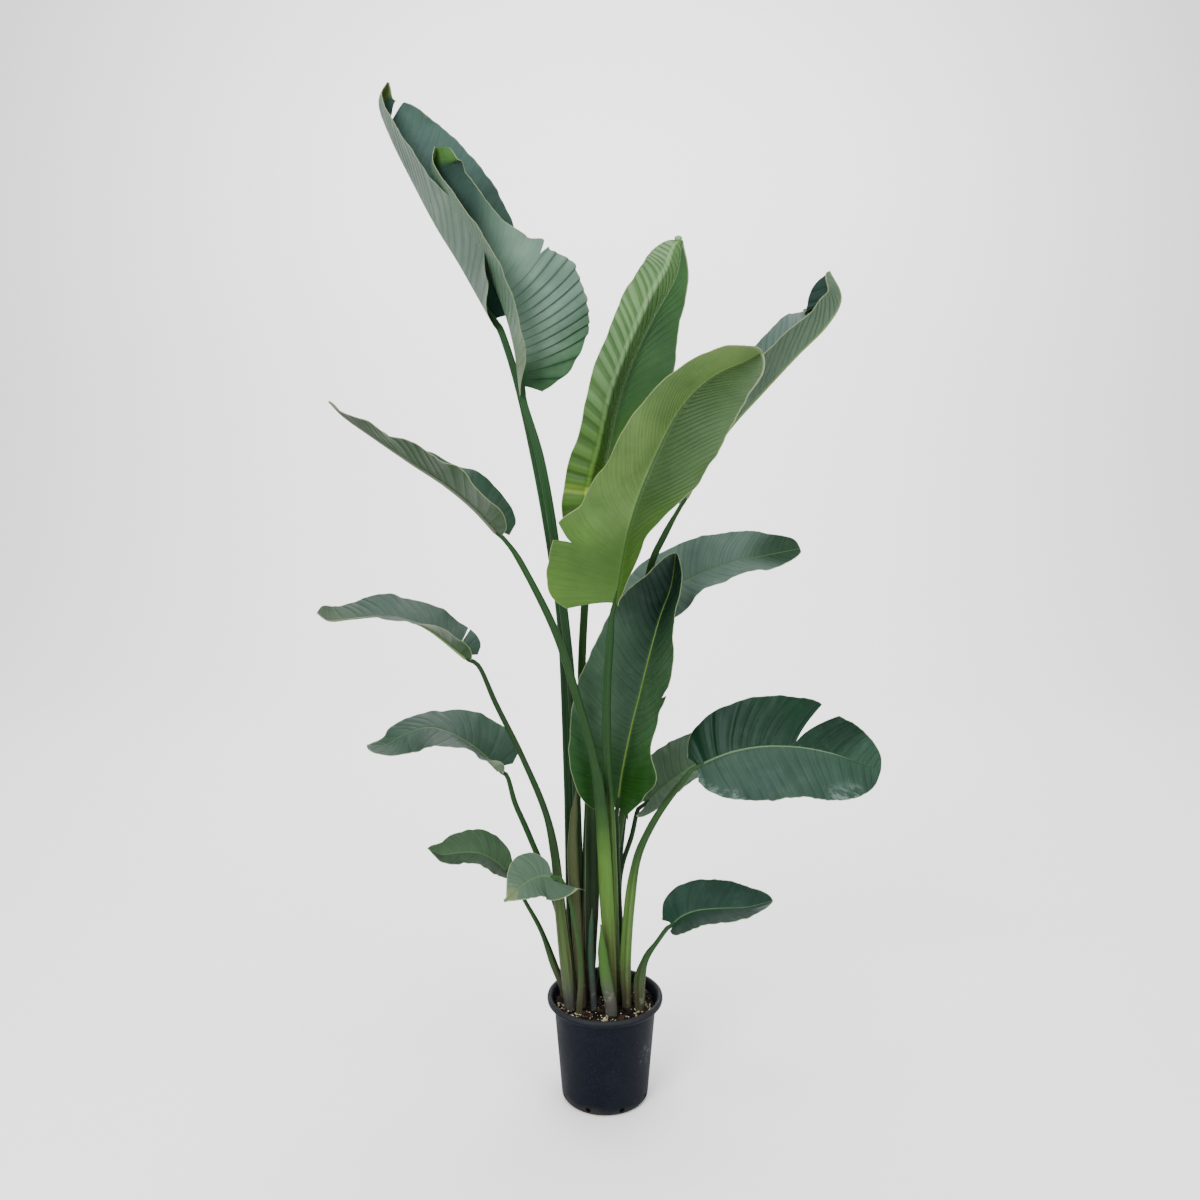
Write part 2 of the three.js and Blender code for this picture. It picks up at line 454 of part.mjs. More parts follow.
class Blade {
  constructor(leaf) {
    this.leaf = { ...PLAIN_LEAF, ...leaf };
    this.curve = curveThrough(leaf.rib.map(vector));
    this.length = this.curve.getLength();
  }

  // Point, direction, side and face of the rib at t
  frame(t) {
    const along = THREE.MathUtils.clamp(t, 0, 1);
    const point = this.curve.getPointAt(along);
    const tangent = this.curve.getTangentAt(along);
    point.addScaledVector(tangent, (t - along) * this.length);
    const face = vector(valuesAt(this.leaf.facing, along));
    face.addScaledVector(tangent, -face.dot(tangent)).normalize();
    return { point, tangent, face, side: tangent.clone().cross(face) };
  }

  halfWidth(side, x) {
    const half = side < 0 ? 0 : 1;
    const lobe = this.leaf.lobe[half];
    const [foot, tip] = this.leaf.form[half];
    const z = THREE.MathUtils.clamp((x + lobe) / (1 + lobe), 0, 1);
    const top = foot / (foot + tip);
    const shape = (z ** foot * (1 - z) ** tip) / (top ** foot * (1 - top) ** tip);
    const trim = valuesAt(this.leaf.trim, x)[half];
    return shape * trim * this.leaf.half[half];
  }

  ribHalf(t) {
    return RIB_HALF * (1 - (1 - TIP_SHARE) * t);
  }

  // A point of the blade: the vein that leaves the rib at t, a share v of the way to the margin.
  point(side, t, v, opening, relief) {
    const half = side < 0 ? 0 : 1;
    const { sweep, lobe, flare, wave } = this.leaf;
    const nearFoot = (1 - t) ** LOBE_FADE;
    const end = t + 4 * sweep * t * (1 - t) - lobe[half] * nearFoot;
    const x = Math.min(1, t + (end - t) * v ** VEIN_BEND + opening);
    const rib = this.ribHalf(t);
    const least = rib + LEAST_WING + flare[half] * this.leaf.half[half] * nearFoot;
    const wing = Math.max(this.halfWidth(side, Math.min(1, end + 0.6 * opening)), least);
    const y = rib + (wing - rib) * v;
    const frame = this.frame(x);
    const fold = THREE.MathUtils.degToRad(valuesAt(this.leaf.fold, x)[half]);
    const curl = THREE.MathUtils.degToRad(valuesAt(this.leaf.curl, x)[half]);
    let out = rib;
    let up = 0;
    for (let step = 0; step < CURL_STEPS; step++) {
      const turned = fold + curl * ((v * (step + 0.5)) / CURL_STEPS) ** CURL_BEND;
      out += (Math.cos(turned) * (y - rib)) / CURL_STEPS;
      up += (Math.sin(turned) * (y - rib)) / CURL_STEPS;
    }
    const angle = fold + curl * v ** CURL_BEND;
    let lift = relief;
    if (wave) {
      const [height, count, start] = wave;
      const phase = 2 * Math.PI * x * count + start + (side < 0 ? 0 : WAVE_SHIFT);
      const along = Math.max(0, Math.sin(Math.PI * THREE.MathUtils.clamp(x, 0, 1))) ** WAVE_FADE;
      lift += height * Math.sin(phase) * (y / wing) ** WAVE_BEND * along;
    }
    return frame.point
      .addScaledVector(frame.side, side * (out - lift * Math.sin(angle)))
      .addScaledVector(frame.face, up + lift * Math.cos(angle));
  }

  // Where the veins leave the rib: even, but two to a pleat where the blade is pleated.
  stations() {
    const { lines, pleats } = this.leaf;
    if (!pleats) return Array.from({ length: lines + 1 }, (_, i) => i / lines);
    const [, from, to, count] = pleats;
    const marks = [0];
    for (let i = 0; i <= 2 * count; i++) marks.push(from + ((to - from) * i) / (2 * count));
    for (let i = 1; i <= lines; i++) marks.push(to + ((1 - to) * i) / lines);
    return marks;
  }

  geometry() {
    const { columns, tears, pleats } = this.leaf;
    const marks = this.stations();
    const points = [];
    const ribRows = new Map();
    const add = (point) => points.push(point) - 1;
    const ribColumn = marks.map((t) => {
      const index = add(this.frame(t).point);
      ribRows.set(index, t);
      return index;
    });
    const cells = [];
    for (const side of [-1, 1]) {
      const torn = tears
        .filter((tear) => tear[0] === side)
        .map(([, t, depth, gap]) => {
          const distances = marks.map((mark) => Math.abs(mark - t));
          const row = distances.indexOf(Math.min(...distances));
          return { row, t: marks[row], depth, gap };
        });
      // The opening of a tear fades over the veins next to it.
      const opening = (i, v, upper) => {
        let sum = 0;
        for (const { row, t, depth, gap } of torn) {
          const beyond = Math.max(0, (v - depth) / (1 - depth)) ** TEAR_BEND;
          const sign = i === row ? (upper ? 1 : -1) : Math.sign(i - row);
          const reach = Math.max(1.5 * gap, TEAR_REACH);
          const fade = Math.max(0, 1 - Math.abs(marks[i] - t) / reach);
          sum += sign * (gap / 2) * fade * beyond;
        }
        return sum;
      };
      const relief = (i, v) => {
        if (!pleats || pleats[0] !== side || i === 0 || i > 2 * pleats[3]) return 0;
        return (i % 2 ? 1 : -1) * (pleats[4] / 2) * Math.min(1, 3 * v);
      };
      const line = (i, upper, shared) => {
        const row = [ribColumn[i]];
        for (let j = 0; j <= columns; j++) {
          const v = j / columns;
          const whole = shared && torn.some((tear) => tear.row === i && v <= tear.depth);
          if (whole) {
            row.push(shared[j + 1]);
          } else {
            const point = this.point(side, marks[i], v, opening(i, v, upper), relief(i, v));
            row.push(add(point));
          }
        }
        return row;
      };
      let lower = line(0, true);
      for (let i = 1; i < marks.length; i++) {
        const isTorn = torn.some((tear) => tear.row === i);
        const upper = line(i, false);
        for (let j = 0; j <= columns; j++) {
          const cell = [lower[j], lower[j + 1], upper[j + 1], upper[j]];
          cells.push(side > 0 ? cell : [cell[1], cell[0], cell[3], cell[2]]);
        }
        lower = isTorn ? line(i, true, upper) : upper;
      }
    }
    return this.thicken(points, cells, ribRows);
  }

  // Gives the sheet of cells its thickness, with a keel under the rib.
  thicken(points, cells, ribRows) {
    const normals = points.map(() => new THREE.Vector3());
    const edges = new Map();
    for (const [a, b, c, d] of cells) {
      const diagonal = points[c].clone().sub(points[a]);
      const normal = diagonal.cross(points[d].clone().sub(points[b]));
      for (const corner of [a, b, c, d]) normals[corner].add(normal);
      for (const [from, to] of [[a, b], [b, c], [c, d], [d, a]]) {
        edges.set(from + "_" + to, [from, to]);
      }
    }
    const positions = [];
    const half = BLADE_THICKNESS / 2;
    const count = points.length;
    const put = (point, normal, distance) => {
      const moved = point.clone().addScaledVector(normal, distance);
      positions.push(moved.x, moved.y, moved.z);
    };
    points.forEach((point, i) => {
      if (ribRows.has(i)) normals[i] = this.frame(ribRows.get(i)).face;
      put(point, normals[i].normalize(), half);
    });
    points.forEach((point, i) => {
      const keel = ribRows.has(i) ? KEEL_DEPTH * (1 - (1 - TIP_SHARE) * ribRows.get(i)) : 0;
      put(point, normals[i], -half - keel);
    });
    const triangles = [];
    for (const [a, b, c, d] of cells) {
      triangles.push(a, b, c, a, c, d);
      triangles.push(count + a, count + c, count + b, count + a, count + d, count + c);
    }
    for (const [from, to] of edges.values()) {
      if (edges.has(to + "_" + from)) continue;
      triangles.push(count + from, count + to, to, count + from, to, from);
    }
    return geometryOf(positions, triangles);
  }
}

// The potting mix: it fills the pot, and each stalk stands in a hole of its own.
function makeSoil(routes) {
  const floor = POT_WALL + 1 + FIT;
  const gap = POT_WALL + 2 * FIT;
  const shoulder = SOIL_LEVEL - SOIL_SHOULDER;
  const profile = [[0, floor], [BASE_RADIUS - BASE_ROUND - FIT, floor]];
  profile.push([BASE_RADIUS - gap, BASE_ROUND], [potRadius(shoulder) - gap, shoulder]);
  profile.push(...SOIL_RINGS.map((radius) => [radius, SOIL_LEVEL]), [0, SOIL_LEVEL]);
  const geometry = latheAboutZ(profile, SOIL_SEGMENTS);
  const position = geometry.attributes.position;
  for (let i = 0; i < position.count; i++) {
    if (position.getZ(i) < SOIL_LEVEL - 1) continue;
    const x = position.getX(i);
    const y = position.getY(i);
    const lump = Math.sin(x / 11 + 1) * Math.cos(y / 9) + Math.sin((x + y) / 17);
    position.setZ(i, SOIL_LEVEL + SOIL_LUMP * lump);
  }
  let soil = solidOf(geometry);
  for (const { route, groove, end } of routes) {
    soil = soil.subtract(solidOf(stalkGeometry(route, groove, end, FIT)));
  }
  return meshOf("soil", geometryFrom(soil), 0x2b211b, 0.95);
}

const plant = new THREE.Group();
const stalks = [];

for (const leaf of LEAVES) {
  const blade = new Blade(leaf);
  const foot = blade.frame(0);
  const lastPoint = vector(leaf.stalk[leaf.stalk.length - 1]);
  const straight = Math.min(STRAIGHT_END, STRAIGHT_SHARE * lastPoint.distanceTo(foot.point));
  const before = foot.point.clone().addScaledVector(foot.tangent, -straight);
  const end = foot.point.clone().addScaledVector(foot.tangent, -SEAT);
  const route = rooted([...leaf.stalk, [...before, STALK_END], [...end, STALK_END]]);
  stalks.push({ route, groove: foot.face, end: foot.tangent });
  const stalk = stalkGeometry(route, foot.face, foot.tangent, 0);
  plant.add(meshOf(leaf.name + "_stalk", stalk, SHEATH_GREEN, 0.5));
  plant.add(meshOf(leaf.name + "_blade", blade.geometry(), leaf.colour, 0.4));
}

for (const sheath of SHEATHS) {
  const route = rooted(sheath.path);
  const groove = new THREE.Vector3(0, 1, 0);
  stalks.push({ route, groove, end: null });
  plant.add(meshOf(sheath.name, stalkGeometry(route, groove, null, 0), sheath.colour, 0.5));
}

plant.add(makePot());
plant.add(makeSoil(stalks));

export default plant;
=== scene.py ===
"""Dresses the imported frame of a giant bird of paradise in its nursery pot.

Metres, +Z up. The origin is the centre of the pot's flat base, +X is to the right
and +Y is away from the viewer. Tables of points are in millimetres.
"""

import math
import random

import bpy
import numpy as np
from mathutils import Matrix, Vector, noise


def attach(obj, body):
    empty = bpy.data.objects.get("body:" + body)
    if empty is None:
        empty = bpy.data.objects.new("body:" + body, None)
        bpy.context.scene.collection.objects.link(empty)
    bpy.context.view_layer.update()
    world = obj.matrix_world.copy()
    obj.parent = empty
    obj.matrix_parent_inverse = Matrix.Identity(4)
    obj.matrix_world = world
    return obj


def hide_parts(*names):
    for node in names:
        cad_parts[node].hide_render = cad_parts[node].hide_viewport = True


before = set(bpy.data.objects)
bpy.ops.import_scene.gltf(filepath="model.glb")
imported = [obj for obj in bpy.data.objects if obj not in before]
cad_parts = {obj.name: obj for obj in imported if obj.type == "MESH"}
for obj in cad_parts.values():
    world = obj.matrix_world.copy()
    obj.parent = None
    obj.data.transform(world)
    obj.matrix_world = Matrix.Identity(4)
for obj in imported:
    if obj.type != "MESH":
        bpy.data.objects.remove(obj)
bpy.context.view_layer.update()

bl_info = {
    "name": "Potted bird of paradise",
    "version": (1, 0, 0),
    "blender": (4, 5, 0),
    "location": "View3D > Sidebar > Plant",
    "description": "Models a giant bird of paradise plant in a black nursery pot",
    "category": "Add Mesh",
}

MM = 0.001
SAME_PLACE = 1e-5
BODY = "root"

# A leaf is read as follows, with left and right seen from above and its tip ahead. A pair
# is for its left and right half, and a share is of the rib's length from the blade's foot.
# Route
#   stalk    [x, y, z, width] from the potting mix up to the blade
#   neck     width of the stalk where it meets the blade
#   sheath   height up to which the stalk is a bright sheath
#   rib      [x, y, z] along the midrib from the blade's foot to its tip
#   facing   [share, x, y, z]: where the upper face looks
# Outline
#   half     greatest half widths
#   form     for each half, exponents of its outline at the foot and at the tip
#   lobe     how far each half reaches back past the foot
#   flare    how far out each half starts at the foot, to its greatest width
#   trim     [share, left, right]: factors on the half widths
#   blunt    whether the tip is blunt, and not a point
#   tears    [side, share, how far out the tear stops, its opening at the margin]
#   bead     [x, y, z, x, y, z]: where the tip's dried end is, from the tip, and its radii
#   columns, rows   faces across each half and along the rib
# Bending
#   fold     [share, left, right]: degrees that each half rises from flat
#   curl     [share, left, right]: degrees added on the way to the margin
#   crease   where on the way out a half curls all at once, and over how much of it; on a left half it also brings a painted highlight along the crest and painted sheen and shade on the pleats beyond
#   wave     [height, count, start] of the margin's waves
# Side veins
#   sweep    how far they run on towards the tip
#   lean     [share, left, right]: how far each runs on, in place of sweep
#   vein_bend   how late they turn ahead
#   spacing  distance between them, where it isn't the usual one
#   veins    how plainly each half shows them
#   ridge    how high the blade swells between them
#   valleys  how dark the painted shade in the valleys along them is, on the upper and the under face
#   pleats   [side, from, to, count, height] of deep folds in place of the swelling
# Colours, as red, green and blue
#   upper, under   the two faces
#   upper_right    right half of the upper face
#   foot, foot_reach, under_foot   at the blade's foot, and where that fades out
#   tip, under_tip, tip_from       at its tip, and where that starts
#   bands    [share where it starts, share where it is full, colour] on the upper face
#   stripes  [share, reach, colour] along one vein of the left half
#   scuffs   [share, reach] of rubbed places at the right margin
#   young    how fresh the leaf is: less bloom and plainer veins
#   gloss    specular level of the upper face
#   rib_line, rib_ends   width of the midrib's line and share up to which it shows
#   rib_tint, rib_under  the midrib on the two faces
#   stalk_tint, stalk_shade   the stalk, and factors on its colour below a metre, which paint the shade of the leaves above
#   sheath_tint, streaks      its sheath, and strength of the red-brown streaks
#   foot_tint, foot_top       its foot, and height in metres where that fades out
PLAIN_LEAF = {
    "neck": 10, "sheath": 330,
    "lobe": [0.03, 0.03], "flare": [0.06, 0.06], "trim": [[0, 1, 1]], "blunt": False,
    "tears": [], "bead": None, "columns": 24, "rows": 150,
    "curl": [[0, 0, 0]], "crease": None, "wave": None,
    "sweep": 0.15, "lean": None, "vein_bend": 1.3, "spacing": None, "veins": [1, 1],
    "ridge": 0.6, "valleys": [0, 0], "pleats": None,
    "upper_right": None, "foot": None, "foot_reach": [0.08, 0.40], "under_foot": None,
    "tip": None, "under_tip": None, "tip_from": 0.62,
    "bands": [], "stripes": [], "scuffs": [], "young": 0.0, "gloss": 0.13,
    "rib_line": 0.40, "rib_ends": 1.0,
    "rib_tint": (0.050, 0.095, 0.040), "rib_under": (0.100, 0.150, 0.055),
    "stalk_tint": (0.0080, 0.0280, 0.0075), "stalk_shade": (1, 1, 1),
    "sheath_tint": (0.0380, 0.0820, 0.0160), "streaks": 0.25,
    "foot_tint": (0.0340, 0.0290, 0.0200), "foot_top": 0.345,
}
LEAVES = [
    {
        "name": "leaf_01", "upper": (0.0230, 0.0510, 0.0400), "under": (0.0720, 0.1120, 0.0840),
        "stalk": [[-67, 26, 207, 18], [-76, 22, 442, 20], [-80, 20, 703, 19], [-91, 24, 1021, 18],
                  [-111, 32, 1191, 18], [-142, 42, 1379, 19], [-182, 54, 1555, 16]],
        "rib": [[-231, 60, 1688], [-296, 65, 1801], [-347, 75, 1882], [-398, 85, 1976],
                [-439, 95, 2057], [-463, 100, 2125], [-445, 100, 2167]],
        "facing": [[0, 0.1, -1, 0.05], [1, 0.15, -1, 0]],
        "half": [150, 152], "form": [[0.46, 0.8], [0.46, 0.8]],
        "fold": [[0, 86, 8], [0.1, 103, 6], [0.22, 111, 5], [0.36, 108, 5], [0.5, 100, 5],
                 [0.7, 98, 5], [1, 100, 30]],
        "flare": [0.06, 0.3],
        "trim": [[0, 1, 0.7], [0.2, 1, 0.88], [0.5, 1, 0.96], [0.8, 1, 1], [1, 1.3, 1]],
        "tears": [[1, 0.83, 0.05, 0.05]],
        # painted shade: the dark foot stands for the shade on the lobe's inner side, and the under
        # face's valleys are darkened as shade
        "blunt": True, "foot": (0.004, 0.020, 0.012),
        "veins": [1.6, 0.2], "valleys": [0, 0.6], "sheath_tint": (0.020, 0.045, 0.012),
        "rib_under": (0.105, 0.145, 0.105), "neck": 15, "stalk_tint": (0.0120, 0.0420, 0.0115),
        "stalk_shade": (0.42, 0.48, 0.47), "bands": [[0.90, 0.93, (0.050, 0.080, 0.022)]],
    },
    {
        "name": "leaf_02", "upper": (0.0780, 0.1320, 0.0980), "under": (0.0560, 0.1000, 0.0660),
        "stalk": [[-46, 2, 215, 18], [-55, 0, 450, 20], [-62, -2, 709, 18], [-70, -4, 900, 18],
                  [-80, -2, 1025, 18], [-107, 5, 1245, 19], [-134, 14, 1400, 18]],
        "rib": [[-172, 30, 1549], [-182, 15, 1633], [-207, 0, 1720], [-254, -10, 1816],
                [-305, -20, 1894], [-338, -30, 1960], [-331, -30, 2007]],
        "facing": [[0, 0.25, -0.96, -0.14], [0.5, 0.05, -1, -0.07], [1, 0.18, -1, 0]],
        "half": [115, 165], "form": [[0.4, 0.5], [0.3, 0.35]], "flare": [0.06, 0.2],
        "lean": [[0, 0, 0], [0.09, 0.07, 0.085], [0.375, 0.13, 0.094], [0.6, 0.13, 0.12],
                 [1, 0, 0]],
        "fold": [[0, 84, 15], [0.15, 97, 8], [0.5, 106, 10], [0.8, 104, 35], [1, 90, 60]],
        "trim": [[-0.02, 1, 0.76], [0.06, 1, 0.9], [0.2, 1, 1.04], [0.36, 1, 0.99],
                 [0.46, 0.97, 0.78], [0.48, 0.96, 0.76], [0.52, 0.94, 0.6], [0.62, 0.9, 0.46],
                 [0.82, 0.8, 0.52], [1, 0.8, 1]],
        "tears": [[1, 0.375, 0.84, 0.024]],
        "pleats": [1, 0.0, 0.37, 12, 4.5], "veins": [1, 0.12],
        # painted shade: the first band darkens the scoop below the tip, and the valleys darken the
        # steep side of each pleat
        "bands": [[0.48, 0.68, (0.0200, 0.0420, 0.0340)], [0.88, 0.96, (0.0340, 0.0850, 0.0200)]],
        "rows": 300, "ridge": 0.5, "blunt": True, "valleys": [0.68, 0.3],
        "foot": (0.010, 0.044, 0.009), "foot_reach": [0.04, 0.20],
        "under_foot": (0.045, 0.090, 0.022),
        "sheath_tint": (0.020, 0.045, 0.012), "rib_under": (0.060, 0.100, 0.035), "neck": 15,
        "stalk_tint": (0.0120, 0.0420, 0.0115), "stalk_shade": (0.42, 0.48, 0.47),
    },
    {
        "name": "leaf_03", "upper": (0.0120, 0.0330, 0.0190), "under": (0.0175, 0.0370, 0.0145),
        "under_tip": (0.052, 0.056, 0.048),
        "stalk": [[17, -22, 216, 24], [13, -30, 338, 32], [6, -40, 467, 36], [0, -50, 583, 34],
                  [-9, -62, 696, 28], [-25, -78, 797, 20], [-52, -92, 904, 19], [-99, -106, 1058, 17],
                  [-165, -115, 1196, 14]],
        "rib": [[-213, -120, 1263], [-257, -125, 1311], [-311, -130, 1356], [-374, -140, 1398],
                [-440, -150, 1444], [-494, -160, 1483], [-523, -170, 1513]],
        "facing": [[0, 0.74, -0.05, 0.67], [0.5, 0.54, 0.1, 0.84], [1, 0.68, 0.17, 0.71]],
        "half": [94, 106], "form": [[0.34, 0.95], [0.22, 0.95]], "lobe": [0.03, 0.06],
        "flare": [0.06, 0.17],
        "fold": [[0, 35, 25], [0.2, 28, 30], [1, 22, 14]],
        "wave": [5, 4, 0], "rib_under": (0.080, 0.085, 0.065), "stalk_tint": (0.0066, 0.0240, 0.0064),
        "sheath": 660, "sheath_tint": (0.048, 0.106, 0.017), "streaks": 0.62,
        "foot_tint": (0.036, 0.035, 0.014), "foot_top": 0.52,
    },
    {
        "name": "leaf_04", "upper": (0.0170, 0.0390, 0.0250), "under": (0.0140, 0.0350, 0.0100),
        "stalk": [[-74, -30, 216, 30], [-82, -33, 328, 34], [-97, -37, 466, 27], [-106, -42, 569, 21],
                  [-127, -46, 669, 15], [-176, -50, 792, 13], [-226, -55, 900, 12]],
        "rib": [[-284, -60, 1000], [-350, -65, 1055], [-393, -70, 1078], [-448, -80, 1090],
                [-511, -90, 1086], [-554, -95, 1082], [-578, -100, 1099]],
        "facing": [[0, 0.67, -0.09, 0.74], [0.5, 0.21, 0, 0.98], [1, 0.58, 0.16, 0.8]],
        "half": [74, 91], "form": [[0.36, 0.5], [0.2, 0.26]], "lobe": [0.03, 0.05],
        "flare": [0.06, 0.22],
        "fold": [[0, 45, 28], [0.2, 34, 18], [0.4, 7, 19], [1, 4, 22]],
        "wave": [3, 3, 1], "tears": [[1, 0.077, 0.3, 0.014]], "blunt": True, "ridge": 0.4,
        "tip": (0.022, 0.043, 0.017), "stalk_tint": (0.0055, 0.0195, 0.0050), "sheath": 560,
        "sheath_tint": (0.036, 0.068, 0.017), "foot_tint": (0.042, 0.037, 0.040), "streaks": 0.8,
    },
    {
        "name": "leaf_05", "upper": (0.0195, 0.0420, 0.0270), "under": (0.0280, 0.0650, 0.0170),
        "stalk": [[-65, 56, 220, 18], [-87, 48, 337, 17], [-121, 38, 463, 14], [-168, 30, 591, 13],
                  [-196, 30, 659, 12]],
        "rib": [[-228, 30, 735], [-257, 28, 765], [-291, 20, 796], [-332, 10, 823], [-377, 0, 837],
                [-424, -10, 826], [-463, -20, 805], [-504, -20, 803]],
        "facing": [[0, 0.66, -0.41, 0.63], [0.5, 0.35, -0.17, 0.92], [1, 0, -0.22, 0.97]],
        "half": [90, 97], "form": [[0.42, 0.55], [0.24, 0.85]], "lobe": [0.03, 0.05],
        "flare": [0.06, 0.27],
        "fold": [[0, 60, 20], [0.25, 30, 11], [0.5, 0, 6], [0.75, 0, 0], [1, 0, 20]],
        "wave": [7, 2, 2], "ridge": 0.4,
    },
    {
        "name": "leaf_06", "upper": (0.0085, 0.0285, 0.0080), "under": (0.0500, 0.0900, 0.0375),
        "upper_right": (0.0280, 0.0580, 0.0280),
        "stalk": [[-91, 20, 228, 18], [-113, 20, 291, 17], [-141, 20, 372, 11], [-178, 20, 444, 9]],
        "rib": [[-210, 20, 504], [-240, 12, 536], [-271, 0, 557], [-308, -10, 563], [-348, -20, 562],
                [-379, -25, 578]],
        "facing": [[0, 0.72, -0.42, 0.54], [0.5, 0.25, -0.38, 0.89], [1, 0.47, -0.21, 0.86]],
        "half": [52, 60], "form": [[0.5, 0.7], [0.5, 0.7]],
        "fold": [[0, 20, 10], [1, 12, 12]],
        "wave": [3, 2, 1], "columns": 16, "rows": 80, "ridge": 0.3,
    },
    {
        "name": "leaf_07", "upper": (0.0340, 0.0610, 0.0390), "under": (0.0550, 0.0950, 0.0500),
        "stalk": [[-56, -58, 225, 14], [-52, -60, 293, 12], [-54, -64, 362, 9], [-64, -70, 429, 8],
                  [-78, -75, 496, 8]],
        "rib": [[-110, -84, 537], [-129, -90, 542], [-149, -102, 542], [-173, -120, 532],
                [-207, -138, 506]],
        "facing": [[0, 0.57, -0.69, 0.43], [0.5, 0.27, -0.62, 0.74], [1, 0, -0.79, 0.62]],
        "half": [52, 55], "form": [[0.9, 1.05], [1, 1.5]], "lobe": [0.6, 0], "flare": [0.22, 0],
        "fold": [[0, 10, 12], [1, 5, 5]],
        "columns": 16, "rows": 80, "sheath": 300, "ridge": 0.15, "tip": (0.075, 0.095, 0.040),
        "stalk_tint": (0.014, 0.040, 0.009),
    },
    {
        "name": "leaf_08", "upper": (0.0520, 0.1080, 0.0360), "under": (0.1050, 0.1650, 0.0650),
        # painted shade: the darker right half stands for the half that turns away from the light
        "upper_right": (0.0155, 0.0460, 0.0120),
        # the stalk is wide low down and, with its dark sheath, stands for the stems in shade in the
        # middle of the clump
        "stalk": [[-37, -12, 221, 20], [-33, -14, 344, 30], [-31, -10, 461, 37], [-31, -2, 566, 35],
                  [-33, 15, 704, 25], [-50, 38, 908, 18], [-43, 50, 1103, 17], [-32, 50, 1210, 15]],
        "rib": [[-17, 50, 1291], [4, 40, 1404], [28, 30, 1517], [59, 20, 1607], [101, 20, 1693],
                [144, 30, 1772], [157, 50, 1846]],
        "facing": [[0, 0.15, -0.98, -0.11], [0.5, 0.13, -0.98, -0.16], [1, 0.17, -0.96, 0.24]],
        "half": [98, 98], "form": [[0.28, 0.45], [0.42, 0.68]], "lobe": [0.13, 0.02],
        "flare": [0.4, 0.06],
        "fold": [[0, 50, 40], [0.3, 57, 42], [0.6, 57, 42], [0.85, 42, 45], [1, 20, 50]],
        # the crease brings the rolled half's painted highlight along its crest, and painted sheen and
        # shade on its pleats
        "curl": [[0, -74, 0], [0.7, -76, 0], [1, -45, 0]], "crease": [0.47, 0.24],
        "trim": [[0, 1.16, 1], [0.12, 1.08, 1], [0.3, 0.9, 1.06], [0.55, 1.02, 1.08],
                 [0.75, 1.24, 0.84], [1, 1.6, 0.42]],
        "bead": [-8, -2, 3, 8, 6, 6], "rows": 160, "young": 0.8,
        "sweep": 0.19, "vein_bend": 0.6, "veins": [1.7, 0.35], "ridge": 1.0,
        "foot": (0.031, 0.080, 0.006), "stripes": [[0.085, 0.011, (0.120, 0.200, 0.018)]],
        # painted shade: the very dark sheath colour is the shadow among the stems
        "stalk_tint": (0.016, 0.048, 0.009), "sheath": 700, "sheath_tint": (0.006, 0.015, 0.004),
        "streaks": 0.6,
    },
    {
        "name": "leaf_09", "upper": (0.0720, 0.1300, 0.0380), "under": (0.1000, 0.1650, 0.0400),
        "upper_right": (0.0280, 0.0560, 0.0180),
        "stalk": [[24, 4, 222, 22], [18, -5, 454, 22], [14, -19, 583, 20], [10, -38, 690, 18],
                  [4, -78, 800, 18], [3, -100, 940, 17], [9, -105, 1043, 16]],
        "rib": [[17, -110, 1117], [25, -116, 1156], [40, -130, 1245], [61, -145, 1323],
                [96, -155, 1410], [132, -160, 1482], [171, -155, 1532], [218, -140, 1567],
                [268, -120, 1589], [305, -100, 1609]],
        "facing": [[0, -0.55, -0.84, 0], [0.25, -0.5, -0.86, 0], [0.5, 0.05, -1, -0.12],
                   [1, 0.46, -0.89, 0.05]],
        "half": [145, 120], "form": [[0.15, 0.62], [0.8, 0.72]], "lobe": [0.055, 0],
        "flare": [0.58, 0.06],
        "trim": [[0, 1.05, 0.86], [0.2, 0.98, 0.88], [0.3, 0.74, 0.86], [0.4, 0.78, 0.88],
                 [0.5, 0.95, 0.94], [0.6, 1, 1]],
        "fold": [[0, 25, 45], [0.2, 35, 41], [0.5, 42, 42], [1, 45, 45]],
        "tears": [[-1, 0.128, 0.74, 0.05]], "rows": 170, "young": 1.0, "sheath": 700,
        "sweep": 0.22, "spacing": 13, "veins": [0.55, 1], "ridge": 0.3,
        "foot": (0.0330, 0.0770, 0.0100), "rib_line": 0.27, "rib_tint": (0.016, 0.045, 0.006),
    },
    {
        "name": "leaf_10", "upper": (0.0300, 0.0550, 0.0440), "under": (0.0460, 0.0760, 0.0480),
        "stalk": [[-11, 38, 224, 20], [7, 42, 433, 18], [35, 42, 616, 15], [62, 35, 843, 16],
                  [78, 30, 1062, 16], [95, 30, 1176, 16], [124, 30, 1243, 15]],
        "rib": [[167, 30, 1323], [201, 20, 1386], [252, 10, 1465], [319, 0, 1540], [387, 0, 1612],
                [446, 0, 1671], [475, 10, 1725], [455, 30, 1780]],
        "facing": [[0, -0.88, 0, 0.47], [0.5, -0.73, 0.07, 0.68], [1, -0.85, 0.27, -0.44]],
        "half": [118, 112], "form": [[0.4, 0.36], [0.4, 0.36]], "blunt": True,
        "fold": [[0, 50, 30], [0.5, 46, 38], [0.8, 54, 38], [1, 74, 40]],
        "trim": [[0.1, 1, 1], [0.35, 0.86, 0.8], [0.6, 0.93, 0.7], [0.8, 1.1, 0.54],
                 [1, 1.2, 0.4]],
        # painted shade: the under face's valleys are darkened as shade
        "ridge": 1.0, "valleys": [0, 0.5], "tip": (0.006, 0.020, 0.014),
        "stalk_tint": (0.011, 0.032, 0.008),
    },
    {
        "name": "leaf_11", "upper": (0.0580, 0.0930, 0.0760), "under": (0.0550, 0.0900, 0.0550),
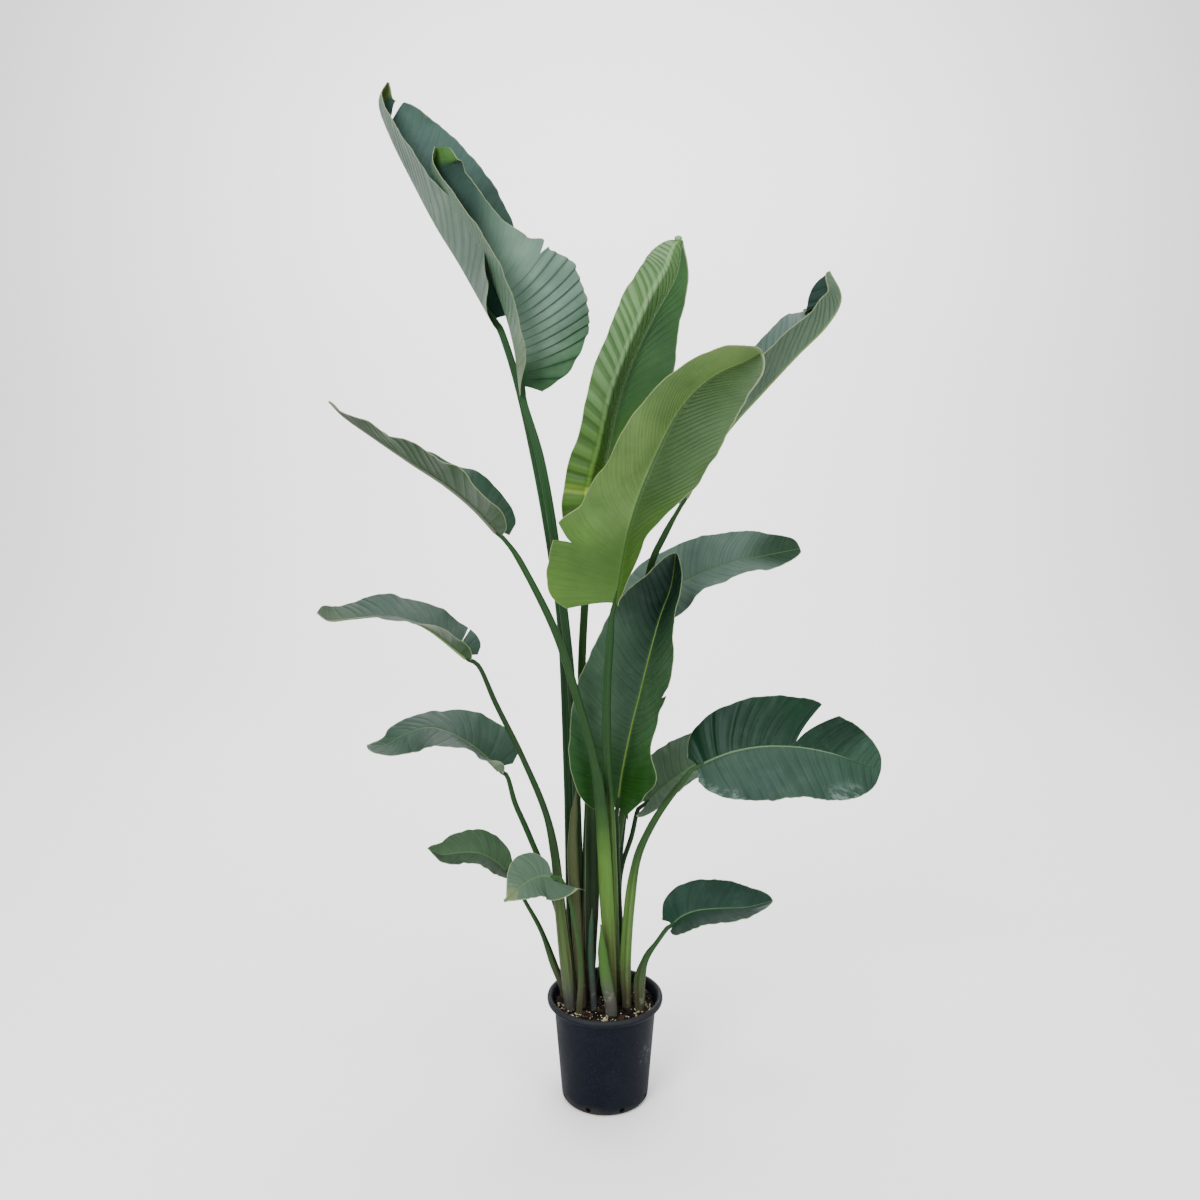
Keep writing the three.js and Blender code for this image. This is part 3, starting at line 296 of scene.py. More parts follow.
        "stalk": [[9, 78, 225, 18], [23, 90, 419, 17], [46, 94, 649, 15], [70, 90, 876, 14],
                  [85, 86, 1009, 13]],
        "rib": [[97, 80, 1092], [134, 80, 1120], [175, 80, 1144], [224, 75, 1166], [279, 70, 1186],
                [343, 70, 1197], [418, 70, 1212]],
        "facing": [[0, -0.42, -0.73, 0.54], [0.5, -0.36, -0.52, 0.78], [1, -0.18, -0.47, 0.87]],
        "half": [92, 73], "form": [[0.2, 0.3], [0.25, 0.36]], "lobe": [0.17, 0.1],
        "flare": [0.54, 0.36],
        "fold": [[0, 10, -10], [0.4, 14, 14], [1, 5, 5]],
        "wave": [4, 3, 0], "ridge": 0.3, "blunt": True, "stalk_tint": (0.006, 0.018, 0.006),
        "tip": (0.0020, 0.0140, 0.0040), "tip_from": 0.55, "gloss": 0.02,
    },
    {
        "name": "leaf_12", "upper": (0.0215, 0.0490, 0.0260), "under": (0.0600, 0.1050, 0.0450),
        "upper_right": (0.0225, 0.0530, 0.0220),
        "stalk": [[44, 8, 215, 18], [34, 8, 378, 13], [28, 5, 516, 11], [26, 1, 600, 11]],
        "rib": [[26, 0, 658], [36, -8, 740], [55, -15, 841], [73, -20, 917], [91, -25, 995],
                [113, -25, 1077], [136, -20, 1142], [146, -10, 1211]],
        "facing": [[0, -0.21, -0.98, -0.07], [0.5, -0.44, -0.9, 0.03], [1, -0.47, -0.86, 0.19]],
        "half": [138, 128], "form": [[0.42, 0.66], [0.42, 0.66]], "lobe": [0.02, 0.03],
        "flare": [0.25, 0.2],
        "trim": [[0, 1, 0.58], [0.08, 1, 0.7], [0.2, 1, 0.94], [0.32, 1, 0.6], [0.42, 1, 0.7],
                 [0.54, 1, 0.96], [0.7, 1, 0.9], [0.85, 1, 1]],
        "fold": [[0, 40, 35], [0.4, 40, 40], [1, 45, 50]],
        "wave": [5, 3.5, 1], "tears": [[1, 0.383, 0.8, 0.03]], "sweep": 0.17, "ridge": 0.5,
        "foot": (0.0045, 0.0310, 0.0010), "tip": (0.002, 0.012, 0.007), "tip_from": 0.45,
        "rib_tint": (0.085, 0.145, 0.022), "rib_line": 0.34, "stalk_tint": (0.008, 0.024, 0.006),
    },
    {
        "name": "leaf_13", "upper": (0.0400, 0.0780, 0.0420), "under": (0.0575, 0.0925, 0.0550),
        "stalk": [[38, 38, 224, 18], [31, 54, 424, 13], [38, 66, 500, 11], [60, 88, 563, 11]],
        "rib": [[90, 110, 632], [126, 110, 667], [168, 110, 702], [209, 115, 728], [263, 120, 752],
                [323, 130, 764]],
        "facing": [[0, -0.59, -0.54, 0.6], [0.5, -0.42, -0.46, 0.78], [1, -0.1, -0.39, 0.92]],
        "half": [86, 76], "form": [[0.42, 0.55], [0.42, 0.55]], "lobe": [0.12, 0.12],
        "fold": [[0, 15, 25], [1, 10, 20]],
        "columns": 20, "rows": 100, "ridge": 0.4, "rib_line": 0.3,
        "stalk_tint": (0.006, 0.018, 0.006),
    },
    {
        "name": "leaf_14", "upper": (0.0012, 0.0140, 0.0045), "under": (0.0550, 0.0950, 0.0475),
        "upper_right": (0.0165, 0.0380, 0.0255),
        "stalk": [[48, -24, 213, 20], [45, -24, 324, 24], [54, -22, 460, 23], [68, -20, 549, 18],
                  [90, -15, 605, 16], [124, -10, 664, 15], [169, -2, 722, 13]],
        "rib": [[196, 0, 749], [227, -10, 769], [275, -20, 790], [336, -30, 803], [406, -40, 804],
                [470, -45, 793], [530, -45, 773], [580, -40, 754]],
        "facing": [[0, -0.56, -0.67, 0.49], [0.5, -0.1, -0.83, 0.55], [1, 0.24, -0.89, 0.38]],
        "half": [108, 116], "form": [[0.36, 0.42], [0.36, 0.42]], "lobe": [0.03, 0.02],
        "flare": [0.18, 0.2],
        "trim": [[0.4, 1, 1.04], [0.5, 1, 0.98], [0.62, 1.02, 0.96], [0.72, 0.84, 1],
                 [0.85, 0.9, 1.02]],
        "fold": [[0, 15, -5], [0.5, 8, 5], [1, 0, 0]],
        "wave": [3, 3, 0],
        "tears": [[-1, 0.533, 0.08, 0.085]],
        "sheath": 560, "scuffs": [[0.05, 0.13], [0.74, 0.15]], "ridge": 0.9, "rib_line": 0.36,
        "rib_ends": 0.86, "rib_tint": (0.075, 0.125, 0.065), "spacing": 25, "veins": [1.4, 0.9],
        "bands": [[0.70, 0.85, (0.0130, 0.0360, 0.0210)]], "stalk_tint": (0.013, 0.036, 0.010),
        "sheath_tint": (0.046, 0.092, 0.020),
    },
    {
        "name": "leaf_15", "upper": (0.0060, 0.0215, 0.0130), "under": (0.0500, 0.0950, 0.0300),
        "stalk": [[76, -38, 228, 22], [75, -38, 284, 25], [88, -40, 336, 15], [112, -40, 373, 10]],
        "rib": [[141, -40, 411], [164, -45, 434], [196, -50, 449], [241, -60, 458], [299, -70, 465],
                [353, -75, 482]],
        "facing": [[0, -0.65, -0.55, 0.53], [0.5, -0.21, -0.39, 0.9], [1, -0.33, -0.26, 0.91]],
        "half": [70, 68], "form": [[0.4, 0.55], [0.4, 0.55]], "lobe": [0.06, 0.03],
        "flare": [0.2, 0.06],
        "fold": [[0, 12, 25], [1, 15, 20]],
        "columns": 18, "rows": 90, "ridge": 0.2, "scuffs": [[0.88, 0.15]], "rib_line": 0.3,
        "stalk_tint": (0.012, 0.034, 0.010), "sheath": 310, "sheath_tint": (0.035, 0.085, 0.014),
    },
]

# Sheaths that stand by themselves at the foot of the clump. Their path is [x, y, z, width],
# and the rest is as for a leaf.
SHEATHS = [
    {
        "name": "sheath_front", "sheath_tint": (0.0300, 0.0760, 0.0120),
        "foot_tint": (0.0500, 0.0430, 0.0460), "streaks": 0.1,
        "path": [[13, -60, 231, 26], [4, -62, 284, 26], [-5, -64, 352, 21], [-9, -64, 423, 4]],
    },
    {
        "name": "sheath_blue", "sheath_tint": (0.0170, 0.0400, 0.0230),
        "foot_tint": (0.0200, 0.0260, 0.0280), "streaks": 0.3,
        "path": [[-24, -40, 227, 14], [-30, -40, 333, 15], [-30, -38, 400, 11], [-28, -36, 446, 3]],
    },
    {
        "name": "sheath_purple", "sheath_tint": (0.0330, 0.0420, 0.0150),
        "foot_tint": (0.0300, 0.0210, 0.0175), "streaks": 0.9,
        "path": [[-48, -27, 218, 18], [-60, -26, 393, 24], [-69, -26, 551, 24], [-67, -25, 640, 17],
                 [-60, -24, 712, 4]],
    },
]

# Points of a pot's wall from the flat base, up the outside, over the rolled rim and
# down the inside: [radius, height] in millimetres
POT_WALL = [
    [84, 0], [87.1, 0.4], [90, 1.6], [92.5, 3.5], [94.4, 6], [95.6, 8.9], [96, 12], [96.9, 24],
    [104.1, 116], [111.2, 206], [111.8, 213], [112, 215.4], [113, 216.6], [120, 218.6],
    [124.2, 220.6], [126.2, 223.2], [127, 226.6], [127, 230], [126.3, 232.6], [124.5, 234.4],
    [122, 235], [119.5, 234.7], [117.4, 233.4], [115.6, 230.4], [113.6, 225], [111, 220],
    [109.8, 214], [109.4, 206], [101.8, 112], [94, 13], [91, 7.4], [86, 4], [84, 3.4],
]


class PotSettings(bpy.types.PropertyGroup):
    """Sizes and colours of the nursery pot"""

    turns: bpy.props.IntProperty(
        name="Segments", description="Faces round the pot", default=144, min=24)
    drain_holes: bpy.props.IntProperty(
        name="Drain holes", description="Holes round the bottom edge", default=8, min=0)
    drain_radius: bpy.props.FloatProperty(
        name="Drain radius", description="Radius of a drain hole", default=0.006,
        subtype="DISTANCE", unit="LENGTH")
    drain_height: bpy.props.FloatProperty(
        name="Drain height", description="Height of the middle of a drain hole", default=0.013,
        subtype="DISTANCE", unit="LENGTH")
    colour: bpy.props.FloatVectorProperty(
        name="Plastic", description="Colour of the moulded plastic", default=(0.0012, 0.0024, 0.0060),
        subtype="COLOR", min=0, max=1)
    dust: bpy.props.FloatVectorProperty(
        name="Dust", description="Colour of dust and scratches", default=(0.0068, 0.0088, 0.0125),
        subtype="COLOR", min=0, max=1)
    rim: bpy.props.FloatVectorProperty(
        name="Rim", description="Colour of the rubbed rim", default=(0.015, 0.016, 0.018),
        subtype="COLOR", min=0, max=1)


class MixSettings(bpy.types.PropertyGroup):
    """The potting mix and what lies on it"""

    level: bpy.props.FloatProperty(
        name="Level", description="Height of the potting mix", default=0.216,
        subtype="DISTANCE", unit="LENGTH")
    lump: bpy.props.FloatProperty(
        name="Lumps", description="Height of the lumps", default=0.0035,
        subtype="DISTANCE", unit="LENGTH")
    chips: bpy.props.IntProperty(
        name="Bark chips", description="Number of bark chips", default=240, min=0)
    granules: bpy.props.IntProperty(
        name="Granules", description="Number of pale granules", default=460, min=0)
    colour: bpy.props.FloatVectorProperty(
        name="Peat", description="Colour of the fine potting mix", default=(0.0030, 0.0024, 0.0020),
        subtype="COLOR", min=0, max=1)


class LeafSettings(bpy.types.PropertyGroup):
    """Sizes and colours that all leaves share"""

    thickness: bpy.props.FloatProperty(
        name="Thickness", description="Thickness of a blade", default=0.0010,
        subtype="DISTANCE", unit="LENGTH")
    rib_half: bpy.props.FloatProperty(
        name="Rib half width", description="Half the midrib's width at the foot", default=0.0065,
        subtype="DISTANCE", unit="LENGTH")
    keel: bpy.props.FloatProperty(
        name="Keel", description="How far the midrib stands out below", default=0.006,
        subtype="DISTANCE", unit="LENGTH")
    vein_spacing: bpy.props.FloatProperty(
        name="Vein spacing", description="Distance between side veins", default=0.022,
        subtype="DISTANCE", unit="LENGTH")
    margin_colour: bpy.props.FloatVectorProperty(
        name="Margin", description="Colour of the thin edge of a blade", default=(0.15, 0.19, 0.09),
        subtype="COLOR", min=0, max=1)
    sheath_edge: bpy.props.FloatVectorProperty(
        name="Sheath edge", description="Colour of a sheath's thin pale edge",
        default=(0.13, 0.17, 0.07), subtype="COLOR", min=0, max=1)


class StageSettings(bpy.types.PropertyGroup):
    """Floor, lights and camera"""

    floor: bpy.props.FloatVectorProperty(
        name="Floor", description="Colour of the floor", default=(0.86, 0.86, 0.86),
        subtype="COLOR", min=0, max=1)
    camera_place: bpy.props.FloatVectorProperty(
        name="Camera", description="Where the camera stands", default=(-0.011, -2.28, 1.43),
        subtype="TRANSLATION", unit="LENGTH")
    camera_pitch: bpy.props.FloatProperty(
        name="Pitch", description="How far the camera looks down", default=math.radians(8),
        subtype="ANGLE", unit="ROTATION")
    lens: bpy.props.FloatProperty(
        name="Lens", description="Focal length for a 36 mm wide picture", default=33.0, min=1)


class Wire:
    """A shader value that can be added, multiplied and so on as a number is."""

    def __init__(self, paint, socket):
        self.paint = paint
        self.socket = socket

    def _with(self, operation, first, second):
        """The outcome of one step of reckoning with two values."""
        node = self.paint.node("ShaderNodeMath", {"operation": operation}, {0: first, 1: second})
        return Wire(self.paint, node.outputs[0])

    def __add__(self, other):
        return self._with("ADD", self, other)

    def __radd__(self, other):
        return self._with("ADD", other, self)

    def __sub__(self, other):
        return self._with("SUBTRACT", self, other)

    def __rsub__(self, other):
        return self._with("SUBTRACT", other, self)

    def __mul__(self, other):
        return self._with("MULTIPLY", self, other)

    def __rmul__(self, other):
        return self._with("MULTIPLY", other, self)

    def __truediv__(self, other):
        return self._with("DIVIDE", self, other)

    def __pow__(self, other):
        return self._with("POWER", self, other)

    def __abs__(self):
        node = self.paint.node("ShaderNodeMath", {"operation": "ABSOLUTE"}, {0: self})
        return Wire(self.paint, node.outputs[0])


class Paint:
    """One material's nodes."""

    def __init__(self, name):
        self.material = bpy.data.materials.new(name)
        self.material.use_nodes = True
        self.tree = self.material.node_tree
        self.tree.nodes.clear()

    def node(self, kind, settings=None, sockets=None):
        """A node of that type: its settings are set first, then its sockets' values or links."""
        node = self.tree.nodes.new(kind)
        for key, value in (settings or {}).items():
            setattr(node, key, value)
        for key, value in (sockets or {}).items():
            socket = node.inputs[key]
            if isinstance(value, Wire):
                self.tree.links.new(value.socket, socket)
            elif isinstance(value, bpy.types.NodeSocket):
                self.tree.links.new(value, socket)
            elif socket.type == "RGBA" and len(value) == 3:
                socket.default_value = (*value, 1)
            else:
                socket.default_value = value
        return node

    def value(self, kind, settings=None, sockets=None, output=0):
        """One output of a new node, as a number to reckon with."""
        return Wire(self, self.node(kind, settings, sockets).outputs[output])

    def attribute(self, name):
        """What note() left at each corner of the piece."""
        return self.value("ShaderNodeAttribute", {"attribute_name": name}, output="Fac")

    def place(self):
        """Where on the object a point is, in metres."""
        return self.node("ShaderNodeTexCoord").outputs["Object"]

    def height(self):
        """Height above the floor, in metres."""
        return self.value("ShaderNodeSeparateXYZ", None, {0: self.place()}, "Z")

    def stretched(self, scale):
        """The object's place, larger along each axis by its scale."""
        node = self.node("ShaderNodeMapping", None, {"Vector": self.place(), "Scale": scale})
        return node.outputs[0]

    def clouds(self, scale, detail=3.0, roughness=0.55, place=None):
        """Even noise from 0 to 1."""
        return self.value("ShaderNodeTexNoise", None, {
            "Vector": place or self.place(), "Scale": scale, "Detail": detail,
            "Roughness": roughness})

    def spots(self, scale):
        """Distance to the nearest of many scattered points."""
        return self.value("ShaderNodeTexVoronoi", None, {"Vector": self.place(), "Scale": scale})

    def step(self, value, low, high, start=0.0, end=1.0):
        """Eases from start to end as value goes from low to high."""
        return self.value("ShaderNodeMapRange", {"interpolation_type": "SMOOTHSTEP"}, {
            0: value, 1: low, 2: high, 3: start, 4: end})

    def lines(self, value):
        """Distance to the nearest whole number, from 0 to 1."""
        node = self.node("ShaderNodeMath", {"operation": "PINGPONG"}, {0: value, 1: 0.5})
        return Wire(self, node.outputs[0]) * 2

    def surface_place(self, x, y, z=0.0):
        """A place whose coordinates are measured on the piece's own surface."""
        return self.node("ShaderNodeCombineXYZ", None, {0: x, 1: y, 2: z}).outputs[0]

    def mix(self, share, first, second):
        """The first colour where share is 0 and the second where it is 1."""
        node = self.node("ShaderNodeMix", {"data_type": "RGBA"}, {0: share, 6: first, 7: second})
        return node.outputs[2]

    def tinted(self, colour, *factors):
        """The colour with its red, green and blue multiplied."""
        node = self.node("ShaderNodeVectorMath", {"operation": "MULTIPLY"}, {0: colour, 1: factors})
        return node.outputs[0]

    def distance_from(self, place):
        """Distance from a place on the object."""
        node = self.node("ShaderNodeVectorMath", {"operation": "DISTANCE"}, {0: self.place(), 1: place})
        return Wire(self, node.outputs["Value"])

    def bump(self, height, distance, strength):
        """Relief of that height, as a normal."""
        return self.node("ShaderNodeBump", None, {
            "Height": height, "Distance": distance, "Strength": strength}).outputs[0]

    def finish(self, colour, roughness, normal=None, **fixed):
        """The material, with its surface joined up."""
        sockets = {"Base Color": colour, "Roughness": roughness}
        if normal is not None:
            sockets["Normal"] = normal
        sockets.update({key.replace("_", " "): value for key, value in fixed.items()})
        shader = self.node("ShaderNodeBsdfPrincipled", None, sockets)
        self.node("ShaderNodeOutputMaterial", None, {"Surface": shader.outputs[0]})
        return self.material


def unit(vectors):
    """The vectors, each of length one"""
    return vectors / np.linalg.norm(vectors, axis=-1, keepdims=True)


def along(first, second):
    """Length of the first vectors along the second, which are of length one"""
    return np.sum(first * second, axis=-1, keepdims=True)


def eased(rows, x):
    """Values of rows [x, a, b, ...] at x, eased between neighbouring rows."""
    rows = np.array(rows, float)
    if len(rows) == 1:
        return np.broadcast_to(rows[0, 1:], (*np.shape(x), rows.shape[1] - 1))
    x = np.clip(x, rows[0, 0], rows[-1, 0])
    i = np.clip(np.searchsorted(rows[:, 0], x, side="right") - 1, 0, len(rows) - 2)
    share = (x - rows[i, 0]) / (rows[i + 1, 0] - rows[i, 0])
    share = (share * share * (3 - 2 * share))[..., None]
    return rows[i, 1:] + (rows[i + 1, 1:] - rows[i, 1:]) * share


PATH_STEPS = 400


class Path:
    """A smooth line through points, read by its share of the length."""

    def __init__(self, points):
        p = np.array(points, float)
        self.points = np.vstack([2 * p[0] - p[1], p, 2 * p[-1] - p[-2]])
        self.spans = len(p) - 1
        self.steps = np.linspace(0, 1, PATH_STEPS + 1)
        walked = np.linalg.norm(np.diff(self.raw(self.steps)[0], axis=0), axis=1)
        self.marks = np.concatenate([[0], np.cumsum(walked)])
        self.length = self.marks[-1]

    def raw(self, t):
        """Point and direction at t, which goes evenly from point to point"""
        s = np.clip(t, 0, 1) * self.spans
        i = np.minimum(s.astype(int), self.spans - 1)
        w = (s - i)[..., None]
        a, b, c, d = (self.points[i + k] for k in range(4))
        leave, arrive = 0.5 * (c - a), 0.5 * (d - b)
        square = -3 * b + 3 * c - 2 * leave - arrive
        cube = 2 * b - 2 * c + leave + arrive
        point = b + leave * w + square * w ** 2 + cube * w ** 3
        return point, unit(leave + 2 * square * w + 3 * cube * w ** 2)

    def at(self, share):
        """Point and direction at a share of the length"""
        walked = np.clip(share, 0, 1) * self.length
        return self.raw(np.interp(walked, self.marks, self.steps))


# What all blades share; lengths are in millimetres
TIP_SHARE = 0.3  # width of the midrib at the tip, to that at the foot
LEAST_WING = 1.5  # least that a half reaches past the midrib
POINT_LENGTH = 0.035  # share of the rib over which a tip runs to its point
POINT_WIDTH = 0.12  # share of the width that is left at the point
RIPPLE = 0.9  # height of the small waves at the margin
SWELL = 1.5  # height to which a blade swells between its side veins
VALLEY_SHARE = 0.24  # share of a pleat that its steep side takes
ARC_STEPS = 24  # steps in which a half's curl is added up
FOOT_FADE = 6  # how soon a lobe or a flare at the foot fades out along the rib


class Blade:
    """The surface of one leaf blade, in millimetres."""

    def __init__(self, leaf, rib_half, spacing):
        self.leaf = {**PLAIN_LEAF, **leaf}
        self.path = Path(leaf["rib"])
        self.rib_half = rib_half
        self.spacing = self.leaf["spacing"] or spacing

    def frame(self, t):
        """Point, direction, face and side of the rib at t"""
        share = np.clip(t, 0, 1)
        point, tangent = self.path.at(share)
        point = point + tangent * ((t - share) * self.path.length)[..., None]
        face = eased(self.leaf["facing"], share)
        face = unit(face - tangent * along(face, tangent))
        return point, tangent, face, np.cross(tangent, face)

    def rib(self, t):
        """Half the width of the midrib at t"""
        return self.rib_half * (1 - (1 - TIP_SHARE) * np.clip(t, 0, 1))

    def half_width(self, half, x):
        """Half width of the outline at x"""
        lobe = self.leaf["lobe"][half]
        foot, tip = self.leaf["form"][half]
        z = np.clip((x + lobe) / (1 + lobe), 0, 1)
        top = foot / (foot + tip)
        shape = (z ** foot * (1 - z) ** tip) / (top ** foot * (1 - top) ** tip)
        return shape * eased(self.leaf["trim"], x)[..., half] * self.leaf["half"][half]

    def margin_place(self, half, t):
        """Where along the rib the side vein that leaves it at t reaches the margin"""
        lean = 4 * self.leaf["sweep"] * t * (1 - t)
        if self.leaf["lean"]:
            lean = eased(self.leaf["lean"], t)[..., half]
        return t + lean - self.leaf["lobe"][half] * (1 - t) ** FOOT_FADE

    def bend(self, v):
        """Share of the curl that is reached at a share v of the way out"""
        if not self.leaf["crease"]:
            return v ** 1.5
        place, width = self.leaf["crease"]
        share = np.clip((v - place) / width + 0.5, 0, 1)
        return share * share * (3 - 2 * share)

    def margin(self, half, t, end, opening):
        """How far from the rib's middle the vein that leaves it at t ends"""
        flare = self.leaf["flare"][half] * self.leaf["half"][half] * (1 - t) ** FOOT_FADE
        least = self.rib(t) + LEAST_WING + flare
        wing = np.maximum(self.half_width(half, np.minimum(1, end + 0.6 * opening)), least)
        # two ripples that are never in step, so that the margin doesn't look drawn
        wing = wing * (1 + 0.006 * np.sin(t * 61 + 2 * half) + 0.004 * np.sin(t * 137))
        return wing + 0.7 * self.relief(half, t, 1.0)

    def pointed(self, t):
        """Factor on the width, which lets the outermost tip run to a point"""
        if self.leaf["blunt"]:
            return np.ones_like(t)
        share = np.clip((1 - t) / POINT_LENGTH, 0, 1)
        return POINT_WIDTH + (1 - POINT_WIDTH) * np.sqrt(share * (2 - share))

    def waves(self, half, x, v, out):
        """Height of the margin's waves and ripples; out is the share of the half's width"""
        inside = np.sin(math.pi * np.clip(x, 0, 1)).clip(0)
        ripple = np.sin(x * 43 + 3 * half) + 0.7 * np.sin(x * 71 + 1)
        lift = RIPPLE * ripple * v ** 3 * inside ** 0.5
        if self.leaf["wave"]:
            height, count, start = self.leaf["wave"]
            phase = 2 * math.pi * x * count + start + 1.9 * half
            lift = lift + height * np.sin(phase) * out ** 2.2 * inside ** 0.4
        return lift

    def swell(self, half, x, t, v):
        """Height of the blade between its side veins"""
        phase = self.vein(t, half)
        uneven = 0.7 + 0.3 * np.sin(phase * 0.9 + half)
        corrugation = np.abs(np.sin(math.pi * phase)) ** 0.8 - 0.6
        inside = np.sin(math.pi * np.clip(x, 0, 1)).clip(0) ** 0.5
        reach = np.minimum(1, 4 * v) * (1 - 0.5 * v ** 4) * inside * self.leaf["veins"][half]
        if self.leaf["crease"] and half == 0:
            reach = reach * (0.3 + 0.7 * self.bend(v))
        return SWELL * self.leaf["ridge"] * uneven * corrugation * reach

    def wing_points(self, half, t, v, opening):
        """Points of one half: the vein that leaves the rib at t, a share v of its way out.

        Their distances from the rib's middle and from the margin come with them.
        """
        end = self.margin_place(half, t)
        x = np.minimum(1, t + (end - t) * v ** self.leaf["vein_bend"] + opening)
        rib = self.rib(t)
        wing = self.margin(half, t, end, opening)
        pointed = self.pointed(t)
        y = rib + (wing - rib) * v
        fold = np.radians(eased(self.leaf["fold"], x)[..., half])
        curl = np.radians(eased(self.leaf["curl"], x)[..., half])
        step = (y - rib) * pointed / ARC_STEPS
        out = rib * pointed
        up = np.zeros_like(y)
        for s in range(ARC_STEPS):
            angle = fold + curl * self.bend(v * (s + 0.5) / ARC_STEPS)
            out = out + np.cos(angle) * step
            up = up + np.sin(angle) * step
        angle = fold + curl * self.bend(v)
        lift = self.relief(half, t, v) + self.waves(half, x, v, y / wing)
        lift = lift + self.swell(half, x, t, v)
        side = 1 if half else -1
        point, _, face, across = self.frame(x)
        place = point + across * (side * (out - lift * np.sin(angle)))[..., None]
        place = place + face * (up + lift * np.cos(angle))[..., None]
        return place, y * pointed, (wing - y) * pointed

    def rows(self):
        """Stations along the rib, with two rows where the blade is torn on either side."""
        count = self.leaf["rows"]
        even = [i / count for i in range(count + 1)]
        torn = sorted({tear[1] for tear in self.leaf["tears"]})
        for t in torn:
            nearest = min(range(1, count), key=lambda i: abs(even[i] - t))
            even[nearest] = t
        rows = []
        for t in even:
            if t in torn:
                rows += [(t, -1), (t, 1)]
            else:
                rows.append((t, 0))
        return rows

    def opening(self, half, t, v, hand):
        """How far a tear pushes the vein at t along the rib; hand is its side of the tear"""
        total = np.zeros(np.broadcast(t, v).shape)
        for side, place, depth, gap in self.leaf["tears"]:
            if (side > 0) != bool(half):
                continue
            beyond = (np.maximum(0, v - depth) / (1 - depth)) ** 1.2
            sign = np.where(np.abs(t - place) < 1e-9, hand, np.sign(t - place))
            fade = np.maximum(0, 1 - np.abs(t - place) / max(1.5 * gap, 0.03))
            total = total + sign * (gap / 2) * fade * beyond
        return total

    def vein(self, t, half):
        """Unevenly spaced side veins, one to each whole number"""
        if self.leaf["pleats"]:
            _, start, stop, count, _ = self.leaf["pleats"]
            return (t - start) / (stop - start) * count + VALLEY_SHARE / 2
        start = sum(ord(letter) for letter in self.leaf["name"])
        drift = 0.22 * np.sin(t * 19 + start) + 0.13 * np.sin(t * 47 + 2.3 * start)
        return t * self.path.length / self.spacing + drift + 0.43 * half

    def relief(self, half, t, v):
        """Height of the pleats"""
        pleats = self.leaf["pleats"]
        if not pleats or (pleats[0] > 0) != bool(half):
            return np.zeros(np.broadcast(t, v).shape)
        count, height = pleats[3:]
        phase = self.vein(t, half) - VALLEY_SHARE / 2
        inside = np.clip(2 * (count - phase), 0, 1)
        share = phase % 1
        slope = np.clip(1 - share / (1 - VALLEY_SHARE), 0, 1) ** 0.8
        rise = np.clip((share - 1) / VALLEY_SHARE + 1, 0, 1)
        fold = 2 * np.maximum(slope, rise) - 1
        return fold * (height / 2) * np.minimum(1, 3 * v) * inside


def alone():
    """Nothing selected, in object mode."""
    if bpy.context.object and bpy.context.object.mode != "OBJECT":
        bpy.ops.object.mode_set(mode="OBJECT")
    bpy.ops.object.select_all(action="DESELECT")


def sheet(name, columns, rows, points):
    """A grid of that many faces, bent so that its corners lie at the points."""
    alone()
    bpy.ops.mesh.primitive_grid_add(x_subdivisions=columns, y_subdivisions=rows, size=1)
    made = bpy.context.object
    made.name = made.data.name = name
    made.data.vertices.foreach_set("co", (np.asarray(points).reshape(-1, 3) * MM).ravel())
    made.data.update()
    return made


def note(piece, name, values):
    """A value at each corner of the piece, which its material reads."""
    attribute = piece.data.attributes.new(name, "FLOAT", "POINT")
    attribute.data.foreach_set("value", np.asarray(values, np.float32).ravel())


def weld():
    """Joins corners of the piece in hand that lie in one place."""
    bpy.ops.object.mode_set(mode="EDIT")
    bpy.ops.mesh.select_all(action="SELECT")
    bpy.ops.mesh.remove_doubles(threshold=SAME_PLACE)
    bpy.ops.object.mode_set(mode="OBJECT")


def close_tube():
    """Joins the long seam of a rolled grid and closes its two ends."""
    weld()
    bpy.ops.object.mode_set(mode="EDIT")
    bpy.ops.mesh.select_all(action="SELECT")
    bpy.ops.mesh.fill_holes(sides=0)
    bpy.ops.mesh.select_all(action="SELECT")
    bpy.ops.mesh.normals_make_consistent(inside=False)
    bpy.ops.object.mode_set(mode="OBJECT")


def smooth(degrees):
    """Shades the piece in hand smoothly, but for edges sharper than that."""
    bpy.ops.object.shade_smooth_by_angle(angle=math.radians(degrees))


def apply(piece, kind, **settings):
    """Adds a modifier with its settings and applies it."""
    alone()
    piece.select_set(True)
    bpy.context.view_layer.objects.active = piece
    bpy.ops.object.modifier_add(type=kind)
    modifier = piece.modifiers[-1]
    for key, value in settings.items():
        setattr(modifier, key, value)
    bpy.ops.object.modifier_apply(modifier=modifier.name)


def settle(piece, slot, *nodes):
    """Rides the finished piece on the plant, in place of its plain nodes."""
    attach(piece, BODY)
    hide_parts(*nodes)


# Colours of what lies on leaves and stalks, as red, green and blue
BLOOM = (0.075, 0.115, 0.100)
DEAD_MARGIN = (0.10, 0.070, 0.030)
LEAF_SPECK = (0.13, 0.13, 0.07)
RUBBED_LEAF = (0.12, 0.16, 0.14)
BROWN_STREAK = (0.032, 0.018, 0.012)
BROWN_BLOTCH = (0.055, 0.030, 0.022)
BLEACHED_FOOT = (0.15, 0.14, 0.12)
STALK_NICK = (0.07, 0.055, 0.025)
LEAF_SHEEN = (0.82, 0.95, 1.0)
STALK_SHEEN = (0.85, 0.96, 1.0)

# How far to either side of the midrib's middle the two halves blend, in metres
MIDDLE = 0.001


